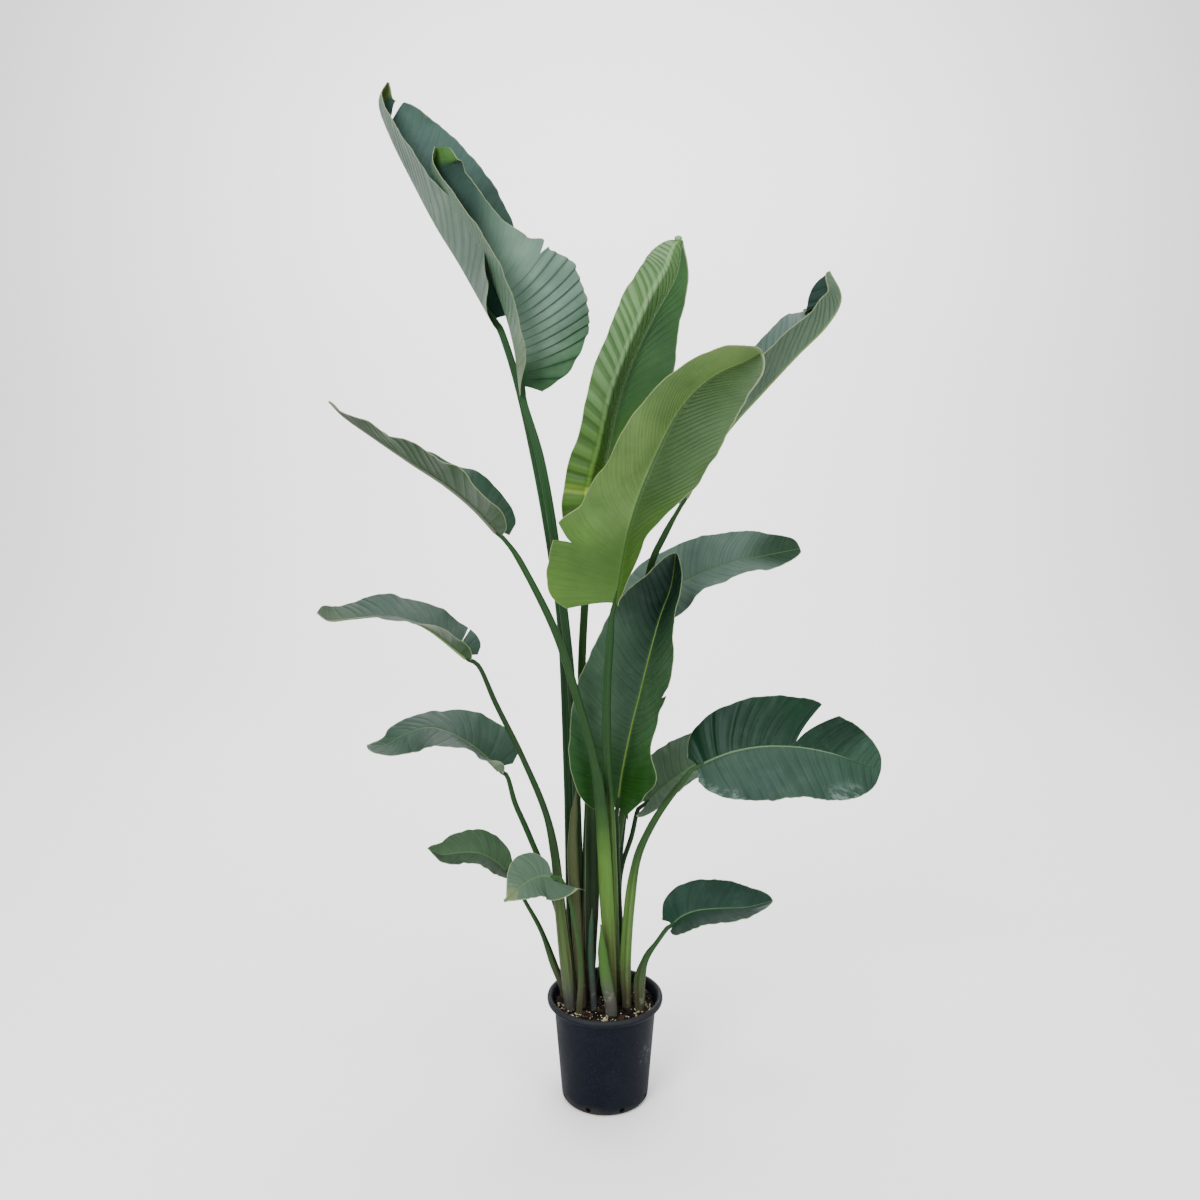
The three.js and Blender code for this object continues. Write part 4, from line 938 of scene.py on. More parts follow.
def leaf_tone(paint, leaf, under, across, exact_share, uneven):
    """Green of one face: its halves, its foot and its tip can differ."""
    share = exact_share + uneven
    tip_share = paint.step(share, leaf["tip_from"], leaf["tip_from"] + 0.33, 0.0, 0.9)
    if under:
        tone = leaf["under"]
        if leaf["under_foot"]:
            tone = paint.mix(paint.step(share, 0.04, 0.30, 0.9, 0.0), tone, leaf["under_foot"])
        return paint.mix(tip_share, tone, leaf["under_tip"]) if leaf["under_tip"] else tone
    tone = leaf["upper"]
    if leaf["upper_right"]:
        tone = paint.mix(paint.step(across, -MIDDLE, MIDDLE), tone, leaf["upper_right"])
    if leaf["foot"]:
        tone = paint.mix(paint.step(share, *leaf["foot_reach"], 0.9, 0.0), tone, leaf["foot"])
    for starts, full, colour in leaf["bands"]:
        tone = paint.mix(paint.step(exact_share + 0.3 * uneven, starts, full), tone, colour)
    for place, reach, colour in leaf["stripes"]:
        stripe = paint.step(abs(exact_share - place), 0.4 * reach, reach, 1.0, 0.0)
        stripe = stripe * paint.step(across, -0.020, -0.004, 0.9, 0.0)
        tone = paint.mix(stripe, tone, colour)
    return paint.mix(tip_share, tone, leaf["tip"]) if leaf["tip"] else tone


def rolled_half(paint, leaf, base, tone, main_vein, signed, way_out):
    """A left half that is rolled back: a painted highlight along its crest, and beyond it painted shade
    in the pleats' valleys and painted sheen on their swells.
    """
    left = paint.step(signed, -0.004, -0.001, 1.0, 0.0)
    place, width = leaf["crease"]
    beyond = paint.step(way_out, place, place + 0.6 * width) * left
    # painted shade: darker lines in the valleys between the pleats beyond the crest
    valley_shadow = paint.step(main_vein, 0.04, 0.26, 1.0, 0.0) * beyond
    base = paint.mix(valley_shadow * 0.50, base, paint.tinted(tone, 0.42, 0.50, 0.40))
    # painted sheen: paler swells between those valleys
    swell = paint.step(main_vein, 0.30, 0.70) * beyond
    base = paint.mix(swell * 0.35, base, paint.tinted(tone, 1.9, 1.65, 2.1))
    # painted highlight: a pale band along the crest of the roll
    crest = paint.step(abs(way_out - place), 0.015, 0.45 * width, 1.0, 0.0) * left
    return paint.mix(crest * 0.70, base, paint.tinted(tone, 2.9, 2.3, 3.2))


def rubbed_places(paint, leaf, share, run, across, rim, signed):
    """Share of each place near the right margin that is rubbed dull."""
    near = 0
    for place, reach in leaf["scuffs"]:
        near = near + paint.step(abs(share - place), 0.4 * reach, reach, 1.0, 0.0)
    grain = paint.clouds(2.2, 6.0, 0.72, paint.surface_place(run * 22, across * 40))
    scuff = paint.step(grain, 0.44, 0.58) * near * paint.step(rim, 0.006, 0.034, 1.0, 0.0)
    return scuff * paint.step(signed, 0.01, 0.02)


def leaf_face(leaf, settings, under):
    """Upper or under face of a blade: veins with painted shade beside them, midrib, pale margin, bloom
    and blemishes.
    """
    paint = Paint(leaf["name"] + ("_underside" if under else "_face"))
    length = Path(leaf["rib"]).length * MM
    vein, rim, run = (paint.attribute(name) for name in ("vein", "rim", "run"))
    share = run * (1 / length)
    signed = paint.attribute("across")
    across = abs(signed)
    strength = paint.step(signed, -MIDDLE, MIDDLE, *leaf["veins"])
    main_vein = paint.lines(vein)
    side_vein = paint.lines(vein * 3)
    fine_vein = paint.lines(vein * 17)

    # the midrib, which can fade out before the tip
    rib = settings.rib_half * (1 - (1 - TIP_SHARE) * share)
    rib_share = 0.95 if under else leaf["rib_line"]
    near_rib = paint.step(across - rib * rib_share, -0.0009, 0.0009, 1.0, 0.0)
    if not under and leaf["rib_ends"] < 1:
        fades_at = leaf["rib_ends"]
        near_rib = near_rib * paint.step(share, fades_at - 0.15, fades_at, 1.0, 0.15)
    beside_rib = paint.step(across, 0.004, 0.030, 1.0, 0.0)

    # greens, with streaks along the side veins and bloom
    patches = paint.clouds(7, 4.0)
    streaks = paint.clouds(1.0, 3.0, 0.6, paint.surface_place(run * 260, across * 14))
    tone = leaf_tone(paint, leaf, under, signed, share, (patches - 0.5) * 0.25)
    dark = paint.tinted(tone, 0.74, 0.76, 0.76)
    light = paint.tinted(tone, 1.30, 1.24, 1.22)
    base = paint.mix(paint.step(patches * 0.72 + streaks * 0.28, 0.34, 0.66), dark, light)
    bloom = paint.step(paint.clouds(19, 5.0, 0.65), 0.48, 0.78) * (0.04 if leaf["young"] else 0.13)
    base = paint.mix(bloom, base, BLOOM)

    # side veins, with painted shade in the hollows beside them and in the valleys along them
    vein_colour = paint.tinted(tone, 1.55, 1.42, 1.30)
    vein_line = paint.step(main_vein, 0.02, 0.12, 1.0, 0.0)
    vein_share = vein_line * (0.5 if under else 0.22 + 0.2 * leaf["young"]) * strength
    base = paint.mix(vein_share * (0.35 + 0.65 * beside_rib), base, vein_colour)
    # painted shade: the hollow beside each main vein is darkened
    hollow_shade = paint.step(main_vein, 0.06, 0.30) * paint.step(main_vein, 0.30, 0.90, 1.0, 0.0)
    base = paint.mix(hollow_shade * strength * 0.28, base, paint.tinted(tone, 0.55, 0.58, 0.58))
    base = paint.mix(paint.step(side_vein, 0.02, 0.30, 0.10, 0.0) * strength, base, vein_colour)
    base = paint.mix(paint.step(fine_vein, 0.0, 0.45, 0.08, 0.0), base, vein_colour)
    # painted shade: a dark line along each valley, as strong as the leaf's valleys
    valleys = leaf["valleys"][1 if under else 0]
    if valleys:
        valley_shadow = paint.step(main_vein, 0.02, 0.22, 1.0, 0.0) * paint.step(across, 0.006, 0.02)
        if leaf["pleats"]:
            last_pleat = leaf["pleats"][2] * length
            valley_shadow = valley_shadow * paint.step(run, last_pleat, last_pleat + 0.01, 1.0, 0.0)
        base = paint.mix(valley_shadow * valleys, base, paint.tinted(tone, 0.28, 0.34, 0.32))
    # painted highlight, sheen and shade on a rolled-back half
    if leaf["crease"] and not under:
        base = rolled_half(paint, leaf, base, tone, main_vein, signed, across / (across + rim))
    base = paint.mix(beside_rib * 0.12, base, vein_colour)
    base = paint.mix(near_rib * 0.9, base, leaf["rib_under"] if under else leaf["rib_tint"])

    # pale margin with dead places, specks and scuffs
    edge = paint.step(rim, 0.0006, 0.0017, 1.0, 0.0)
    base = paint.mix(edge * 0.75, base, settings.margin_colour[:])
    worn = paint.step(paint.clouds(60, 4.0), 0.60, 0.72) * paint.step(rim, 0.001, 0.006, 1.0, 0.0)
    base = paint.mix(worn * 0.6, base, DEAD_MARGIN)
    specks = paint.step(paint.spots(85), 0.035, 0.075, 1.0, 0.0)
    specks = specks * paint.step(paint.clouds(9), 0.55, 0.70)
    base = paint.mix(specks * 0.5, base, LEAF_SPECK)
    roughness = 0.37 + 0.14 * paint.clouds(24, 3.0) - 0.04 * vein_line
    if leaf["scuffs"] and not under:
        scuff = rubbed_places(paint, leaf, share, run, across, rim, signed)
        base = paint.mix(scuff * 0.60, base, RUBBED_LEAF)
        roughness = roughness + 0.2 * scuff

    # relief of the veins and a fine grain
    uneven = 0.35 + 0.9 * paint.clouds(11, 3.0)
    ridge = paint.step(main_vein, 0.0, 0.7) * uneven + paint.step(side_vein, 0.0, 0.9) * 0.22
    ridge = ridge * strength + paint.step(fine_vein, 0.0, 1.0) * 0.05
    if under:
        ridge = 1 - ridge
    grain = paint.clouds(420, 2.0) * 0.04
    depth = 0.0014 * (0.3 + 0.7 * leaf["ridge"])
    normal = paint.bump(ridge * (1 - near_rib) + grain, depth, 0.9)
    return paint.finish(base, roughness, normal, Specular_Tint=LEAF_SHEEN,
                        Specular_IOR_Level=0.10 if under else leaf["gloss"])


def stalk_skin(stalk, settings):
    """Ribbed stalk: dark above its sheath, with painted shade where that part is below a metre, bright
    along its sheath, red-brown and grey at its foot.
    """
    paint = Paint(stalk["name"] + "_skin")
    height = paint.height()
    run = paint.attribute("run")
    turn = paint.attribute("turn")
    patches = paint.clouds(11, 4.0)
    threads = paint.clouds(1.0, 4.0, 0.6, paint.surface_place(run * 9, turn * 34))
    broad = paint.clouds(1.0, 3.0, 0.55, paint.surface_place(run * 4, turn * 13, 3.7))
    level = height + (patches - 0.5) * 0.10 + (threads - 0.5) * 0.05

    # the stalk above its sheath, with painted shade below a metre, threads along it and the sheath's
    # pale lip
    sheath_top = stalk["sheath"] * MM
    above = paint.step(level, sheath_top - 0.10, sheath_top + 0.03)
    # painted shade: below a metre the stalk's colour is darkened by its shade factors, for the shade
    # under the leaves
    shaded = paint.tinted(stalk["stalk_tint"], *stalk["stalk_shade"])
    upper = paint.mix(paint.step(height, 0.95, 1.25), shaded, stalk["stalk_tint"])
    middle = stalk["sheath_tint"]
    base = paint.mix(above, middle, upper)
    dark_thread = paint.step(threads, 0.35, 0.7, 0.0, 0.40)
    base = paint.mix(dark_thread, base, paint.tinted(middle, 0.6, 0.6, 0.6))
    pale_thread = paint.step(threads, 0.60, 0.78, 0.0, 0.22) * (1 - 0.6 * above)
    base = paint.mix(pale_thread, base, paint.tinted(middle, 1.7, 1.55, 1.9))
    lip = paint.step(abs(turn - 0.27), 0.004, 0.020, 1.0, 0.0) * (1 - above)
    base = paint.mix(lip * 0.45, base, settings.sheath_edge[:])

    # brown streaks and blotches, the bleached foot and nicks
    brown_top = 0.28 + 0.45 * stalk["streaks"]
    brown = paint.step(broad, 0.46, 0.62) * paint.step(level, 0.5 * brown_top, brown_top, 1.0, 0.0)
    base = paint.mix(brown * min(1, 1.5 * stalk["streaks"]), base, BROWN_STREAK)
    low = paint.step(level, 0.235, stalk["foot_top"], 1.0, 0.0)
    base = paint.mix(low * 0.80, base, stalk["foot_tint"])
    blotch = paint.step(paint.clouds(38, 5.0, 0.65), 0.55, 0.68)
    blotch = blotch * paint.step(level, 0.24, 0.50, 1.0, 0.0)
    base = paint.mix(blotch * 0.5, base, BROWN_BLOTCH)
    bleached = paint.step(paint.clouds(52, 4.0), 0.60, 0.72) * low
    base = paint.mix(bleached * 0.4, base, BLEACHED_FOOT)
    nicks = paint.step(paint.spots(46), 0.03, 0.07, 1.0, 0.0)
    nicks = nicks * paint.step(paint.clouds(8), 0.52, 0.68)
    base = paint.mix(nicks * 0.5, base, STALK_NICK)
    roughness = 0.42 + 0.18 * patches + 0.12 * low
    fine_threads = paint.clouds(1.0, 3.0, 0.6, paint.surface_place(run * 16, turn * 75))
    normal = paint.bump(fine_threads + 0.4 * patches, 0.0006, 0.6)
    return paint.finish(base, roughness, normal, Specular_IOR_Level=0.11,
                        Specular_Tint=STALK_SHEEN)


# Colours of marks on the pot and of the parts of the mix
SCRATCH = (0.11, 0.12, 0.13)
POCK = (0.13, 0.13, 0.13)
RUBBED_PATCH = (0.07, 0.08, 0.09)
DRIED_MUD = (0.050, 0.042, 0.034)
RUBBED_AT = (0.088, -0.056, 0.125)
PALE_CRUMB = (0.007, 0.0055, 0.0040)
WARM_CRUMB = (0.010, 0.006, 0.004)
FIBRE = (0.055, 0.036, 0.022)
DARK_BARK = (0.006, 0.004, 0.003)
RED_BARK = (0.060, 0.026, 0.015)
BARK_GRAIN = (0.009, 0.006, 0.005)
BARK_SPLINTER = (0.065, 0.040, 0.026)
DULL_GRANULE = (0.17, 0.15, 0.08)
BRIGHT_GRANULE = (0.42, 0.39, 0.27)
GRANULE_PIT = (0.11, 0.09, 0.05)


def pot_plastic(settings):
    """Matte moulded plastic with dust, scratches and a scuffed rim."""
    paint = Paint("pot_plastic")
    height = paint.height()
    speck = paint.clouds(900, 2.0)
    patches = paint.clouds(9, 5.0, 0.6)
    dust = paint.step(patches, 0.42, 0.75) * 0.5
    base = paint.mix(dust, settings.colour[:], settings.dust[:])
    mottle = paint.step(paint.clouds(170, 5.0, 0.7), 0.46, 0.66)
    base = paint.mix(mottle * 0.45, base, settings.dust[:])
    scratches = paint.step(paint.clouds(3.2, 5.0, 0.7, paint.stretched((30, 30, 300))), 0.66, 0.72)
    base = paint.mix(scratches * 0.35, base, SCRATCH)
    pocks = paint.step(paint.spots(95), 0.05, 0.12, 1.0, 0.0)
    pocks = pocks * paint.step(paint.clouds(14), 0.5, 0.62)
    base = paint.mix(pocks * 0.45, base, POCK)
    rim = paint.step(height + (patches - 0.5) * 0.006, 0.225, 0.234)
    base = paint.mix(rim * 0.9, base, settings.rim[:])
    rubbed = paint.step(paint.distance_from(RUBBED_AT), 0.012, 0.032, 1.0, 0.0)
    rub = paint.clouds(1.0, 5.0, 0.7, paint.stretched((90, 90, 190)))
    base = paint.mix(rubbed * paint.step(rub, 0.52, 0.62) * 0.5, base, RUBBED_PATCH)
    mud = paint.step(height + (patches - 0.5) * 0.04, 0.004, 0.026, 1.0, 0.0)
    base = paint.mix(mud * 0.35, base, DRIED_MUD)
    roughness = 0.46 + 0.22 * patches + 0.1 * dust - 0.06 * rim
    normal = paint.bump(speck + 2.2 * paint.clouds(260, 3.0), 0.00022, 0.8)
    return paint.finish(base, roughness, normal, Specular_IOR_Level=0.07)


def peat(settings):
    """Fine dark potting mix with crumbs and fibres."""
    paint = Paint("peat_mix")
    crumbs = paint.clouds(230, 6.0, 0.7)
    patches = paint.clouds(40, 4.0)
    base = paint.mix(paint.step(crumbs, 0.40, 0.70), settings.colour[:], PALE_CRUMB)
    base = paint.mix(paint.step(patches, 0.50, 0.68) * 0.5, base, WARM_CRUMB)
    fibres = paint.step(paint.clouds(1.0, 4.0, 0.7, paint.stretched((900, 140, 300))), 0.64, 0.72)
    base = paint.mix(fibres * 0.5, base, FIBRE)
    normal = paint.bump(crumbs + 0.5 * paint.spots(330), 0.0035, 0.9)
    return paint.finish(base, 0.94, normal, Specular_IOR_Level=0.1)


def bark():
    """Bark chips, most of them dark and a few of them red."""
    paint = Paint("bark_chips")
    tone = paint.attribute("tone")
    grain = paint.clouds(1.0, 4.0, 0.65, paint.stretched((420, 90, 520)))
    base = paint.mix(tone ** 3.0, DARK_BARK, RED_BARK)
    base = paint.mix(paint.step(grain, 0.42, 0.70) * 0.6, base, BARK_GRAIN)
    base = paint.mix(paint.step(grain, 0.62, 0.80, 0.0, 0.25), base, BARK_SPLINTER)
    normal = paint.bump(grain, 0.0012, 0.9)
    return paint.finish(base, 0.88, normal, Specular_IOR_Level=0.12)


def pumice():
    """Pale granules, each of its own tone and pitted."""
    paint = Paint("pale_granules")
    tone = paint.attribute("tone")
    pits = paint.clouds(700, 4.0, 0.7)
    base = paint.mix(tone, DULL_GRANULE, BRIGHT_GRANULE)
    base = paint.mix(paint.step(pits, 0.50, 0.70) * 0.5, base, GRANULE_PIT)
    normal = paint.bump(pits, 0.0009, 0.9)
    return paint.finish(base, 0.90, normal, Specular_IOR_Level=0.3)


def floor_paint(settings):
    """Matte floor, hardly uneven in tone."""
    paint = Paint("studio_floor")
    tone = paint.clouds(0.8, 2.0)
    base = paint.mix(tone, settings.floor[:], tuple(0.985 * c for c in settings.floor))
    return paint.finish(base, 0.85, None, Specular_IOR_Level=0.2)


BEAD_OUT = 0.03  # how far out on the blade a bead is painted as if it were, in metres


def add_bead(piece, blade):
    """Joins the small dried end to the tip of a blade, in the colour of its crest, with the painted
    highlight there.
    """
    away, radii = np.array(blade.leaf["bead"][:3]), blade.leaf["bead"][3:]
    place = (blade.frame(np.array([1.0]))[0][0] + away) * MM
    alone()
    bpy.ops.mesh.primitive_uv_sphere_add(
        segments=16, ring_count=10, radius=MM, location=place, scale=radii)
    bead = bpy.context.object
    bpy.ops.object.shade_smooth()
    bead.data.materials.append(piece.data.materials[0])
    count = len(bead.data.vertices)
    # these notes set the bead on the crest, so that it takes the painted highlight there
    crest = blade.leaf["crease"][0]
    note(bead, "across", np.full(count, -BEAD_OUT))
    note(bead, "rim", np.full(count, BEAD_OUT / crest - BEAD_OUT))
    note(bead, "run", np.full(count, blade.path.length * MM))
    note(bead, "vein", np.full(count, 0.5))
    bead.select_set(True)
    piece.select_set(True)
    bpy.context.view_layer.objects.active = piece
    bpy.ops.object.join()


def cut_tears(piece, rows, wide):
    """Takes out the row of faces that bridges each tear."""
    gaps = [i for i in range(len(rows) - 1) if rows[i][1] == -1 and rows[i + 1][1] == 1]
    chosen = np.zeros(len(piece.data.polygons), bool)
    for i in gaps:
        chosen[i * wide:(i + 1) * wide] = True
    bpy.context.tool_settings.mesh_select_mode = (False, False, True)
    bpy.ops.object.mode_set(mode="EDIT")
    bpy.ops.mesh.select_all(action="DESELECT")
    bpy.ops.object.mode_set(mode="OBJECT")
    piece.data.polygons.foreach_set("select", chosen)
    bpy.ops.object.mode_set(mode="EDIT")
    bpy.ops.mesh.delete(type="FACE")
    bpy.ops.object.mode_set(mode="OBJECT")
    bpy.context.tool_settings.mesh_select_mode = (True, False, False)


def weigh(piece, weights):
    """Leaves at each corner what share of the greatest thickness a blade has there."""
    group = piece.vertex_groups.new(name="thickness")
    for i, weight in enumerate(weights.ravel()):
        group.add([i], float(weight), "REPLACE")


RIB_FACES = 8  # faces across a midrib
GROOVE = 1.3  # depth of the groove along a midrib, in millimetres


def make_blade(leaf, settings):
    """One leaf blade, bent from a flat grid, torn, and given its thickness and midrib."""
    blade = Blade(leaf, settings.rib_half / MM, settings.vein_spacing / MM)
    leaf = blade.leaf
    columns = leaf["columns"]
    rows = blade.rows()
    t = np.array([row[0] for row in rows])[:, None]
    hand = np.array([row[1] for row in rows])[:, None]
    tt, vv = np.broadcast_arrays(t, np.linspace(0, 1, columns + 1)[None, :])
    halves = []
    for half in (0, 1):
        opening = blade.opening(half, tt, vv, np.broadcast_to(hand, tt.shape))
        halves.append(blade.wing_points(half, tt, vv, opening))
    (left, left_out, left_rim), (right, right_out, right_rim) = halves

    share = np.linspace(-1, 1, RIB_FACES + 1)[1:-1][None, :]
    middle = left[:, :1] + (right[:, :1] - left[:, :1]) * ((share[..., None] + 1) / 2)
    face = blade.frame(t[:, 0])[2][:, None, :]
    middle = middle - face * (GROOVE * (1 - share ** 2) * (1 - 0.6 * t))[..., None]
    inner_rim = np.maximum(left_rim[:, :1], right_rim[:, :1]) + 0 * share
    points = np.concatenate([left[:, ::-1], middle, right], axis=1)
    across = np.concatenate([-left_out[:, ::-1], right_out[:, :1] * share, right_out], axis=1)
    rim = np.concatenate([left_rim[:, ::-1], inner_rim, right_rim], axis=1)
    wide = 2 * columns + RIB_FACES
    piece = sheet(leaf["name"] + "_leaf", wide, len(rows) - 1, points)
    note(piece, "across", across * MM)
    note(piece, "rim", rim * MM)
    note(piece, "run", np.broadcast_to(t * blade.path.length * MM, across.shape))
    note(piece, "vein", np.where(across > 0, blade.vein(t, 1), blade.vein(t, 0)))

    keel = settings.keel * np.sqrt(1 - share ** 2) * (1 - 0.75 * t)
    flat = np.full((len(rows), columns + 1), settings.thickness)
    deepest = settings.keel + settings.thickness
    weigh(piece, np.concatenate([flat, keel + settings.thickness, flat], axis=1) / deepest)
    if leaf["tears"]:
        cut_tears(piece, rows, wide)
    weld()
    piece.data.materials.append(leaf_face(leaf, settings, under=False))
    piece.data.materials.append(leaf_face(leaf, settings, under=True))
    apply(piece, "SOLIDIFY", thickness=deepest, offset=-1, vertex_group="thickness",
          thickness_vertex_group=0.0, material_offset=1, material_offset_rim=1)
    smooth(50)
    if leaf["bead"]:
        add_bead(piece, blade)
    settle(piece, leaf["name"], leaf["name"] + "_blade")


# What all stalks share; lengths are in millimetres
ROOTED_TO = 150  # height in the mix at which a stalk starts
STRAIGHT_END = 35  # how far a stalk keeps to its midrib's line before the blade
STALK_SIDES = 24  # faces round a stalk
STALK_FLATNESS = 0.8  # depth of a stalk, to its width
STALK_END = 6  # width where a stalk ends inside the midrib
STALK_INSIDE = 0.045  # share of the midrib up to which it runs on inside
LAST_STEP = 6  # where it starts to go in, before the blade's foot
DEPTHS = (1.0, 2.2, 3.2)  # how far under the face it is before that, there and at its end
FULL_SHEATH = 30  # width from which a stalk is all sheath
BARE_STALK = 16  # width up to which it has none


def stalk_tube(name, route, groove, step=11, depth=0.25, pointed=False):
    """A round-backed stalk along its route [x, y, z, width], channelled on its groove side."""
    route = np.array(route, float)
    path = Path(route[:, :3])
    walked = np.cumsum(np.linalg.norm(np.diff(route[:, :3], axis=0), axis=1))
    marks = np.concatenate([[0], walked])
    widths = np.column_stack([marks / marks[-1], route[:, 3]])
    rings = max(8, round(path.length / step))
    t = np.linspace(0, 1, rings + 1)
    if pointed:
        t = np.sin(t * math.pi / 2)
    centre, tangent = path.at(t)
    backward = unit(np.array([0.0, 1.0, 0.0]) - tangent * tangent[:, 1:2])
    outward = np.cross(backward, tangent)
    start = np.arctan2(backward @ groove, outward @ groove)
    width = eased(widths, t)[:, :1]

    # the channel, with a low lip on either side, is deeper where the stalk is a sheath
    turn = np.linspace(0, 2 * math.pi, STALK_SIDES + 1)[None, :]
    off = np.minimum(turn, 2 * math.pi - turn)
    sheathed = np.clip((width - BARE_STALK) / (FULL_SHEATH - BARE_STALK), 0, 1)
    dip = 1 - (depth + 0.30 * sheathed) * np.exp(-(off / (0.42 + 0.25 * sheathed)) ** 2)
    dip = dip + (0.05 + 0.10 * sheathed) * np.exp(-((off - 0.72 - 0.2 * sheathed) / 0.2) ** 2)
    angle = start[:, None] + turn
    reach = dip * width / 2
    points = centre[:, None, :] + outward[:, None, :] * (reach * np.cos(angle))[..., None]
    points = points + backward[:, None, :] * (STALK_FLATNESS * reach * np.sin(angle))[..., None]
    piece = sheet(name, STALK_SIDES, rings, points)
    shape = points.shape[:2]
    note(piece, "run", np.broadcast_to((t * path.length * MM)[:, None], shape))
    note(piece, "turn", np.broadcast_to(off * 0.3, shape))
    close_tube()
    smooth(60)
    return piece


def rooted(path):
    """The path with a start inside the potting mix"""
    x, y, _, width = path[0]
    return [[x, y, ROOTED_TO, width * 0.9], *path]


def make_stalk(leaf, settings):
    """One leaf's stalk, from its foot in the mix to where it runs into the midrib."""
    leaf = {**PLAIN_LEAF, **leaf}
    blade = Blade(leaf, settings.rib_half / MM, settings.vein_spacing / MM)
    places, directions, faces, _ = blade.frame(np.array([0.0, STALK_INSIDE]))
    foot, ahead, face = places[0], directions[0], faces[0]
    last = np.array(leaf["stalk"][-1][:3], float)
    straight = min(STRAIGHT_END, 0.3 * np.linalg.norm(foot - last))
    route = rooted(leaf["stalk"])
    route.append([*(foot - ahead * straight - face * DEPTHS[0]), leaf["neck"]])
    route.append([*(foot - ahead * LAST_STEP - face * DEPTHS[1]), leaf["neck"]])
    route.append([*(places[1] - faces[1] * DEPTHS[2]), STALK_END])
    piece = stalk_tube(leaf["name"] + "_petiole", route, face)
    piece.data.materials.append(stalk_skin(leaf, settings))
    settle(piece, "stalk", leaf["name"] + "_stalk")


def make_sheath(sheath, settings):
    """One loose sheath, bright from its foot to its point."""
    sheath = {**PLAIN_LEAF, **sheath}
    sheath["stalk_tint"] = sheath["sheath_tint"]
    sheath["sheath"] = sheath["path"][-1][2]
    piece = stalk_tube(sheath["name"] + "_blade", rooted(sheath["path"]), (0, 1, 0), step=8,
                       depth=0.5, pointed=True)
    piece.data.materials.append(stalk_skin(sheath, settings))
    settle(piece, sheath["name"], sheath["name"])


def mix_height(x, y, settings):
    """Height of the potting mix's lumpy top"""
    place = Vector((x * 38, y * 38, 0.3))
    lump = noise.noise(place) + 0.55 * noise.noise(place * 2.7) + 0.3 * noise.noise(place * 7.1)
    return settings.level + settings.lump * 1.25 * lump


MIX_SIDE = [(4, 3.7), (84, 3.7), (92.6, 12), (108, 208)]  # [radius, height] in millimetres
MIX_EDGE = 107.6  # radius of the outermost ring of its lumpy top
MIX_CENTRE = 2.0  # and of the innermost
MIX_SPOKES = 120
MIX_RINGS = 34


def make_mix(settings):
    """The potting mix: a body that fills the pot, lumpy on top."""
    turns = [2 * math.pi * k / MIX_SPOKES for k in range(MIX_SPOKES + 1)]
    points = []
    for radius, z in MIX_SIDE:
        points.append([[radius * math.cos(a), radius * math.sin(a), z] for a in turns])
    for i in range(MIX_RINGS + 1):
        radius = MIX_EDGE - (MIX_EDGE - MIX_CENTRE) * (i / MIX_RINGS)
        ring = []
        for a in turns:
            x, y = radius * math.cos(a), radius * math.sin(a)
            ring.append([x, y, mix_height(x * MM, y * MM, settings) / MM])
        points.append(ring)
    piece = sheet("peat_body", MIX_SPOKES, len(points) - 1, points)
    close_tube()
    smooth(80)
    piece.data.materials.append(peat(settings))
    settle(piece, "potting_mix", "soil")


def strew(name, make, count, place, material, seed):
    """Copies of one small piece on the mix, each with its own mesh, joined into one."""
    draw = random.Random(seed)
    template = make()
    copies = []
    for _ in range(count):
        copy = template.copy()
        copy.data = template.data.copy()
        bpy.context.scene.collection.objects.link(copy)
        place(copy, draw)
        note(copy, "tone", np.full(len(copy.data.vertices), draw.random()))
        copies.append(copy)
    alone()
    bpy.data.objects.remove(template)
    for copy in copies:
        copy.select_set(True)
    bpy.context.view_layer.objects.active = copies[0]
    bpy.ops.object.join()
    piece = bpy.context.object
    piece.name = piece.data.name = name
    bpy.ops.object.transform_apply(location=True, rotation=True, scale=True)
    bpy.ops.object.mode_set(mode="EDIT")
    bpy.ops.mesh.select_all(action="SELECT")
    bpy.ops.mesh.normals_make_consistent(inside=False)
    bpy.ops.object.mode_set(mode="OBJECT")
    piece.data.materials.clear()
    piece.data.materials.append(material)
    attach(piece, BODY)


def chip_block():
    """A flat bark chip with broken corners."""
    alone()
    bpy.ops.mesh.primitive_cube_add(size=1)
    chip = bpy.context.object
    bpy.ops.object.mode_set(mode="EDIT")
    bpy.ops.mesh.select_all(action="SELECT")
    bpy.ops.mesh.bevel(offset=0.17, segments=1)
    bpy.ops.transform.vertex_random(offset=0.14, seed=3)
    bpy.ops.object.mode_set(mode="OBJECT")
    return chip


def granule_ball():
    """A rounded granule."""
    alone()
    bpy.ops.mesh.primitive_ico_sphere_add(subdivisions=2, radius=0.5)
    ball = bpy.context.object
    bpy.ops.object.mode_set(mode="EDIT")
    bpy.ops.mesh.select_all(action="SELECT")
    bpy.ops.transform.vertex_random(offset=0.10, seed=5)
    bpy.ops.object.mode_set(mode="OBJECT")
    bpy.ops.object.shade_smooth()
    return ball


STREWN_RADIUS = 0.103  # how far from the middle chips and granules lie
CHIP_SEED = 11
GRANULE_SEED = 23
CLUMPED_SHARE = 0.72  # share of the granules that lie in clumps
CLUMPS = [(-0.095, -0.018), (-0.090, -0.026), (-0.037, -0.058), (-0.002, -0.080),
          (0.006, -0.086), (0.084, -0.030), (0.078, -0.040), (-0.004, -0.020),
          (0.085, 0.045), (-0.060, -0.062)]


